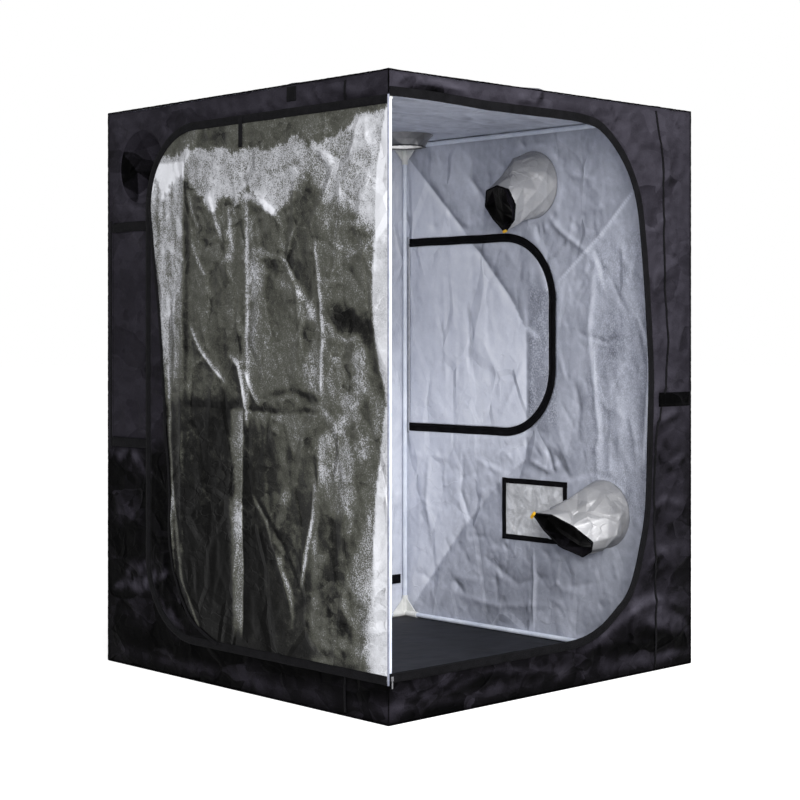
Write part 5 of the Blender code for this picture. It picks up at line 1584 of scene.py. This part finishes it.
make_vent()


# ---- Sleeves


@dataclass
class Sleeve:
    """A port's sleeve, from its hole in the cover to its gathered mouth."""

    base: tuple  # the middle of its port
    inward: tuple  # the way it points
    up: tuple
    port: float  # the port's radius
    reach: float
    drop: float  # how far its mouth droops, and drifts to one side
    drift: float
    mouth: tuple  # width and height of the mouth
    turns: tuple  # how the mouth is turned, tipped and rolled, in degrees
    tip: tuple  # the side where its mouth is drawn out to a point, and how far
    pleats: tuple  # how many, and how deep

    def spot(self, share, angle, fold=0.0):
        """A place on its cloth: a share of the way to its mouth, at an angle round it."""
        inward, up = Vector(self.inward), Vector(self.up)
        across = inward.cross(up)
        centre = Vector(self.base) + inward * self.reach * share - up * self.drop * share**1.5
        centre += across * self.drift * share
        ease = share * share * (3 - 2 * share)
        start = self.port + SLEEVE_LAP
        width = start + (self.mouth[0] / 2 - start) * ease
        height = start + (self.mouth[1] / 2 - start) * ease
        peak = max(0.0, math.cos(angle - math.radians(self.tip[0]))) ** 6
        swell = 1 + ease * (self.tip[1] * peak + self.pleats[1] * math.cos(self.pleats[0] * angle)) + fold
        arm = (across * width * math.cos(angle) + up * height * math.sin(angle)) * swell
        yaw, pitch, roll = (math.radians(turn) for turn in self.turns)
        turn = Quaternion(up, yaw) @ Quaternion(across, -pitch) @ Quaternion(inward, roll)
        return centre + Quaternion().slerp(turn, share) @ arm


SLEEVE_LAP = 0.004  # how far it starts outside its port, under the wall's cloth
DOWN, UP = (0, 0, -1), (0, 0, 1)
LEFTWARD, RIGHTWARD = (-1, 0, 0), (1, 0, 0)
SLEEVES = {
    "right_upper": Sleeve(
        (END, *UPPER_PORT[0]), LEFTWARD, UP, UPPER_PORT[1], reach=0.18, drop=0.088, drift=0.0,
        mouth=(0.152, 0.168), turns=(4, 16, 0), tip=(266, 0.24), pleats=(5, 0.06),
    ),
    "right_lower": Sleeve(
        (END, *LOWER_PORT[0]), LEFTWARD, UP, LOWER_PORT[1], reach=0.17, drop=0.072, drift=0.03,
        mouth=(0.244, 0.104), turns=(25, 23, -36), tip=(0, 0.24), pleats=(7, 0.06),
    ),
    "left": Sleeve(
        (-END, *LEFT_PORT[0]), RIGHTWARD, UP, LEFT_PORT[1], reach=0.15, drop=0.045, drift=0.0,
        mouth=(0.072, 0.06), turns=(0, 30, 0), tip=(270, 0.25), pleats=(7, 0.1),
    ),
    "roof": Sleeve(
        (*ROOF_PORT[0], WALL_HIGH), DOWN, LEFTWARD, ROOF_PORT[1], reach=0.048, drop=0.0, drift=0.0,
        mouth=(0.176, 0.168), turns=(0, 0, 0), tip=(0, 0.03), pleats=(6, 0.03),
    ),
}
SLEEVE_ROUND, SLEEVE_RINGS = 120, 44


def faceted(sleeve, share, angle, seed, rows, sides, depth):
    """A place on a sleeve whose cloth has dropped into flat facets between knots, and its facet's level."""
    chance = random.Random(seed)
    knots = [[chance.uniform(-1, 1) for _ in range(sides)] for _ in range(rows + 1)]
    down = min(share * rows, rows - 1e-6)
    row, fall = int(down), down - int(down)
    turn = angle / math.tau * sides - 0.5 * down
    side, along = math.floor(turn), turn - math.floor(turn)
    if fall + along < 1:
        corners = [((row, side), 1 - fall - along), ((row, side + 1), along), ((row + 1, side), fall)]
    else:
        corners = [((row + 1, side + 1), fall + along - 1), ((row + 1, side), 1 - along), ((row, side + 1), 1 - fall)]
    spot, level = Vector((0, 0, 0)), 0.0
    for (i, j), part in corners:
        knot = knots[i][j % sides]
        firm = min(1.0, i / rows * 2)
        spot += part * sleeve.spot(i / rows, math.tau * (j + 0.5 * i) / sides, depth * knot * firm)
        level += knot / 3
    hold = min(1.0, share * 6)
    return sleeve.spot(share, angle).lerp(spot, hold), level


def make_sleeve(name, sleeve, seed, rows, sides, depth, bright, lining):
    shape = bmesh.new()
    bmesh.ops.create_grid(shape, x_segments=SLEEVE_RINGS, y_segments=SLEEVE_ROUND, size=0.5)
    tone = shape.verts.layers.float.new("film_tone_and_painted_light")
    black = shape.verts.layers.float.new("nylon_tone_and_painted_light")
    for vert in shape.verts:
        share, angle = vert.co.x + 0.5, math.tau * (vert.co.y + 0.5)
        vert.co, level = faceted(sleeve, share, angle, seed, rows, sides, depth)
        # Painted light: the sleeve is painted brighter on one side, and each facet, lining too, lighter or darker by
        # its knots' level
        vert[tone] = 0.48 + 0.22 * level + 0.2 * math.cos(angle - math.radians(bright))
        vert[black] = lining[0] + lining[1] * level
    bmesh.ops.remove_doubles(shape, verts=shape.verts, dist=0.00001)
    shape.normal_update()
    shape.faces.ensure_lookup_table()
    middle = sleeve.spot(0.5, 0).lerp(sleeve.spot(0.5, math.pi), 0.5)
    outward = sum(face.normal.dot(face.calc_center_median() - middle) for face in shape.faces)
    if outward < 0:
        bmesh.ops.reverse_faces(shape, faces=shape.faces)
    inner = sleeve_film if name == "roof" else nylon
    looks, replaced = [sleeve_film, inner], [name + "_sleeve"]
    return thicken(finish_piece(name + "_sleeve_cloth", shape, looks, "tent", replaced), 0.0012)


# For each sleeve: its seed, rows and sides of knots, their depth, its side painted brighter and its lining's painted
# facet tones
SLEEVE_FALL = {
    "right_upper": (12, 4, 8, 0.11, 200, (0.1, 0.24)),
    "right_lower": (9, 4, 8, 0.13, 110, (0.14, 0.4)),
    "left": (6, 3, 7, 0.16, 0, (0.44, 0.8)),
    "roof": (2, 2, 14, 0.04, 0, (0.1, 0.1)),
}


def make_sleeves():
    for name, sleeve in SLEEVES.items():
        seed, rows, sides, depth, _, _ = SLEEVE_FALL[name]
        piece = make_sleeve(name, sleeve, *SLEEVE_FALL[name])
        hem = [faceted(sleeve, 1.0, math.tau * step / 56, seed, rows, sides, depth)[0] for step in range(56)]
        hem.append(hem[0].lerp(hem[1], 0.02))
        look = sleeve_film if name == "roof" else tape_look
        round_strip(name + "_sleeve_hem", hem, 0.0032, look, "tent", gather=0.3, step=0.004)


make_sleeves()


def make_sleeve_flap():
    """A loose fold of the upper sleeve's black lining that hangs along one side of its mouth."""
    sleeve = SLEEVES["right_upper"]
    back = 0.88  # how far along the sleeve it hangs, and how far out
    middle = sleeve.spot(back, 0.0).lerp(sleeve.spot(back, math.pi), 0.5)
    shape = bmesh.new()
    bmesh.ops.create_grid(shape, x_segments=10, y_segments=30, size=0.5)
    tone = shape.verts.layers.float.new("nylon_tone_and_painted_light")
    for vert in shape.verts:
        across, down = vert.co.x + 0.5, vert.co.y + 0.5
        rim = middle.lerp(sleeve.spot(back, math.radians(85 + 165 * down)), back)
        wide = 0.1 + 0.62 * math.sin(math.pi * down)
        bow = 0.008 * math.sin(math.pi * across) * math.sin(math.pi * down)
        bow += 0.002 * math.sin(20 * across + 5 * down)
        vert[tone] = 0.22 + 0.3 * across + 0.2 * noise.noise(Vector((across * 4, down * 3, 4.0)))
        vert.co = rim.lerp(middle, wide * across) + Vector((-0.8, -0.4, 0.0)) * bow
    bmesh.ops.recalc_face_normals(shape, faces=shape.faces)
    flap = finish_piece("right_upper_sleeve_lap", shape, [nylon, nylon], "tent")
    thicken(flap, 0.001, 0.0)


make_sleeve_flap()


# ---- Seams and small trims


def make_seams():
    """Rolled binding along the cover's upright, lower and upper edges."""
    corners = [(-EDGE, -EDGE), (EDGE, -EDGE), (EDGE, EDGE), (-EDGE, EDGE)]
    for number, (x, y) in enumerate(corners):
        x1, y1 = corners[(number + 1) % 4]
        lines = {
            "corner": [(x, y, height) for height in (WALL_LOW, 0.5, 1.0, 1.5, WALL_HIGH)],
            "low": [(x, y, SEAM_LOW), (x1, y1, SEAM_LOW)],
            "high": [(x, y, SEAM_HIGH), (x1, y1, SEAM_HIGH)],
        }
        for key, line in lines.items():
            round_strip(f"{key}_seam_{number}", line, 0.0022, nylon, "tent", gather=0.5)


make_seams()


def make_trims():
    tab = lay_tape("roof_edge_loop", [(-0.293, 1.944), (-0.293, 1.992)], 0.045, LEFT, 0.0006, tape_look, "tent",
                   ["roof_edge_tab"], thick=0.0014, rise=left_rise)
    patch = lay_tape("front_patch", [(0.56, 0.96), (0.742, 0.96)], 0.05, FRONT, 0.0006, nylon, "tent",
                     ["front_fastening_patch"], thick=0.0014, rise=front_rise)
    strap = lay_tape("liner_strap_webbing", [(0.608, 0.161), (0.718, 0.161)], 0.038, REAR_IN, 0.003, tape_look,
                     "tent", ["liner_strap"], thick=0.0014)
    tie = lay_tape("door_tie_webbing", [(0.716, DOOR_HIGH - 0.004), (0.716, DOOR_HIGH - 0.107)], 0.02, OPEN_DOOR,
                   0.003, tape_look, "door", ["door_tie_strap"], thick=0.0014, ruffle=0.001)


make_trims()


PIPING_FOOT = -0.7512  # where the strip that carries the door is sewn to the corner, along X and Y


def make_hinge_hem():
    """The door's rolled hem at its hinge, and the gathered strip that joins it to the front left corner."""
    x, y = DOOR_AXIS.x, DOOR_AXIS.y
    line = [(x, y, DOOR_LOW), (x, y, 0.7), (x, y, 1.3), (x, y, DOOR_HIGH)]
    round_strip("door_hinge_hem", line, 0.0034, hem_look, "door")
    shape = bmesh.new()
    bmesh.ops.create_grid(shape, x_segments=4, y_segments=180, size=0.5)
    cut = shape.loops.layers.uv.new("cut")
    for one in shape.faces:
        for loop in one.loops:
            loop[cut].uv = (loop.vert.co.y * 1.8, loop.vert.co.x * 2)
    low, length = DOOR_LOW + 0.002, DOOR_HIGH - DOOR_LOW - 0.004
    for vert in shape.verts:
        share, height = vert.co.x + 0.5, low + (vert.co.y + 0.5) * length
        gather = 0.001 * noise.noise(Vector((height / 0.03, share * 2, 4.0))) * math.sin(math.pi * share)
        vert.co = (x + (PIPING_FOOT - x) * share + gather, y + (PIPING_FOOT - y) * share - gather, height)
    bmesh.ops.recalc_face_normals(shape, faces=shape.faces)
    strip = finish_piece("door_piping_strip", shape, [hinge_look], "tent", ["door_hinge_piping"])
    thicken(strip, 0.0012, 0.0, 0)


make_hinge_hem()


def hard_look(name):
    """The finish of a rigid piece of the frame, by the start or end of its name."""
    if name.startswith("connector"):
        return joint_look
    if name.startswith(("upright", "top_rail", "bottom_rail")):
        return tube_look
    if name.endswith("slider"):
        return slider_look
    return lock_look if "cord_lock" in name else None


def dress_hard_parts():
    """The frame's tubes, joints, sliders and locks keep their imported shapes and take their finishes."""
    for name, node in frame["nodes"].items():
        look = hard_look(name)
        if look:
            for slot in node.material_slots:
                slot.material = look


dress_hard_parts()


# ---- Stage and light


def seen_plainly(tree):
    """1 for the camera's own rays and those that gloss or glass sends on, 0 for the light's others."""
    path = tree.nodes.new("ShaderNodeLightPath")
    seen = path.outputs["Is Camera Ray"]
    for kind in ("Is Glossy Ray", "Is Transmission Ray"):
        both = tree.nodes.new("ShaderNodeMath")
        both.operation = "MAXIMUM"
        tree.links.new(seen, both.inputs[0])
        tree.links.new(path.outputs[kind], both.inputs[1])
        seen = both.outputs[0]
    return seen


FLOOR_GLOW = 0.62
WORLD_LIGHT = 0.55


def make_floor():
    """A plain pale floor that runs into the background."""
    shape = bmesh.new()
    bmesh.ops.create_circle(shape, cap_ends=True, segments=96, radius=60)
    bmesh.ops.translate(shape, verts=shape.verts, vec=(0, 0, -0.0006))
    mesh = bpy.data.meshes.new("studio_floor")
    shape.to_mesh(mesh)
    shape.free()
    look = bpy.data.materials.new("studio_floor")
    look.use_nodes = True
    tree = look.node_tree
    shader = tree.nodes["Principled BSDF"]
    shader.inputs["Base Color"].default_value = (0.8, 0.8, 0.8, 1)
    shader.inputs["Roughness"].default_value = 0.9
    shader.inputs["Specular IOR Level"].default_value = 0.0
    glow = tree.nodes.new("ShaderNodeMath")
    glow.operation = "MULTIPLY"
    glow.inputs[1].default_value = FLOOR_GLOW
    tree.links.new(seen_plainly(tree), glow.inputs[0])
    tree.links.new(glow.outputs[0], shader.inputs["Emission Strength"])
    shader.inputs["Emission Color"].default_value = (1, 1, 1, 1)
    mesh.materials.append(look)
    floor = bpy.data.objects.new("studio_floor", mesh)
    bpy.context.scene.collection.objects.link(floor)


def make_world():
    """Even white light, and a white background where it is seen."""
    world = bpy.data.worlds.new("studio")
    bpy.context.scene.world = world
    world.use_nodes = True
    tree = world.node_tree
    back = tree.nodes["Background"]
    strength = tree.nodes.new("ShaderNodeMapRange")
    strength.inputs["To Min"].default_value = WORLD_LIGHT
    strength.inputs["To Max"].default_value = 1.0
    tree.links.new(seen_plainly(tree), strength.inputs["Value"])
    tree.links.new(strength.outputs[0], back.inputs["Strength"])
    back.inputs["Color"].default_value = (1, 1, 1, 1)


def add_lamp(name, spot, aim, width, height, power):
    """A soft lamp that looks at its aim, with its power in watts."""
    lamp = bpy.data.lights.new(name, "AREA")
    lamp.shape = "RECTANGLE"
    lamp.size = width
    lamp.size_y = height
    lamp.energy = power
    item = bpy.data.objects.new(name, lamp)
    item.location = spot
    item.rotation_euler = (Vector(aim) - Vector(spot)).to_track_quat("-Z", "Y").to_euler()
    bpy.context.scene.collection.objects.link(item)


make_floor()
make_world()
add_lamp("high_front_lamp", (-1.3, -4.9, 4.3), (0.0, -0.2, 1.0), 1.6, 1.2, 260)
add_lamp("doorway_lamp", (-4.3, -5.0, 1.9), (0.5, 0.1, 0.9), 1.6, 1.6, 250)
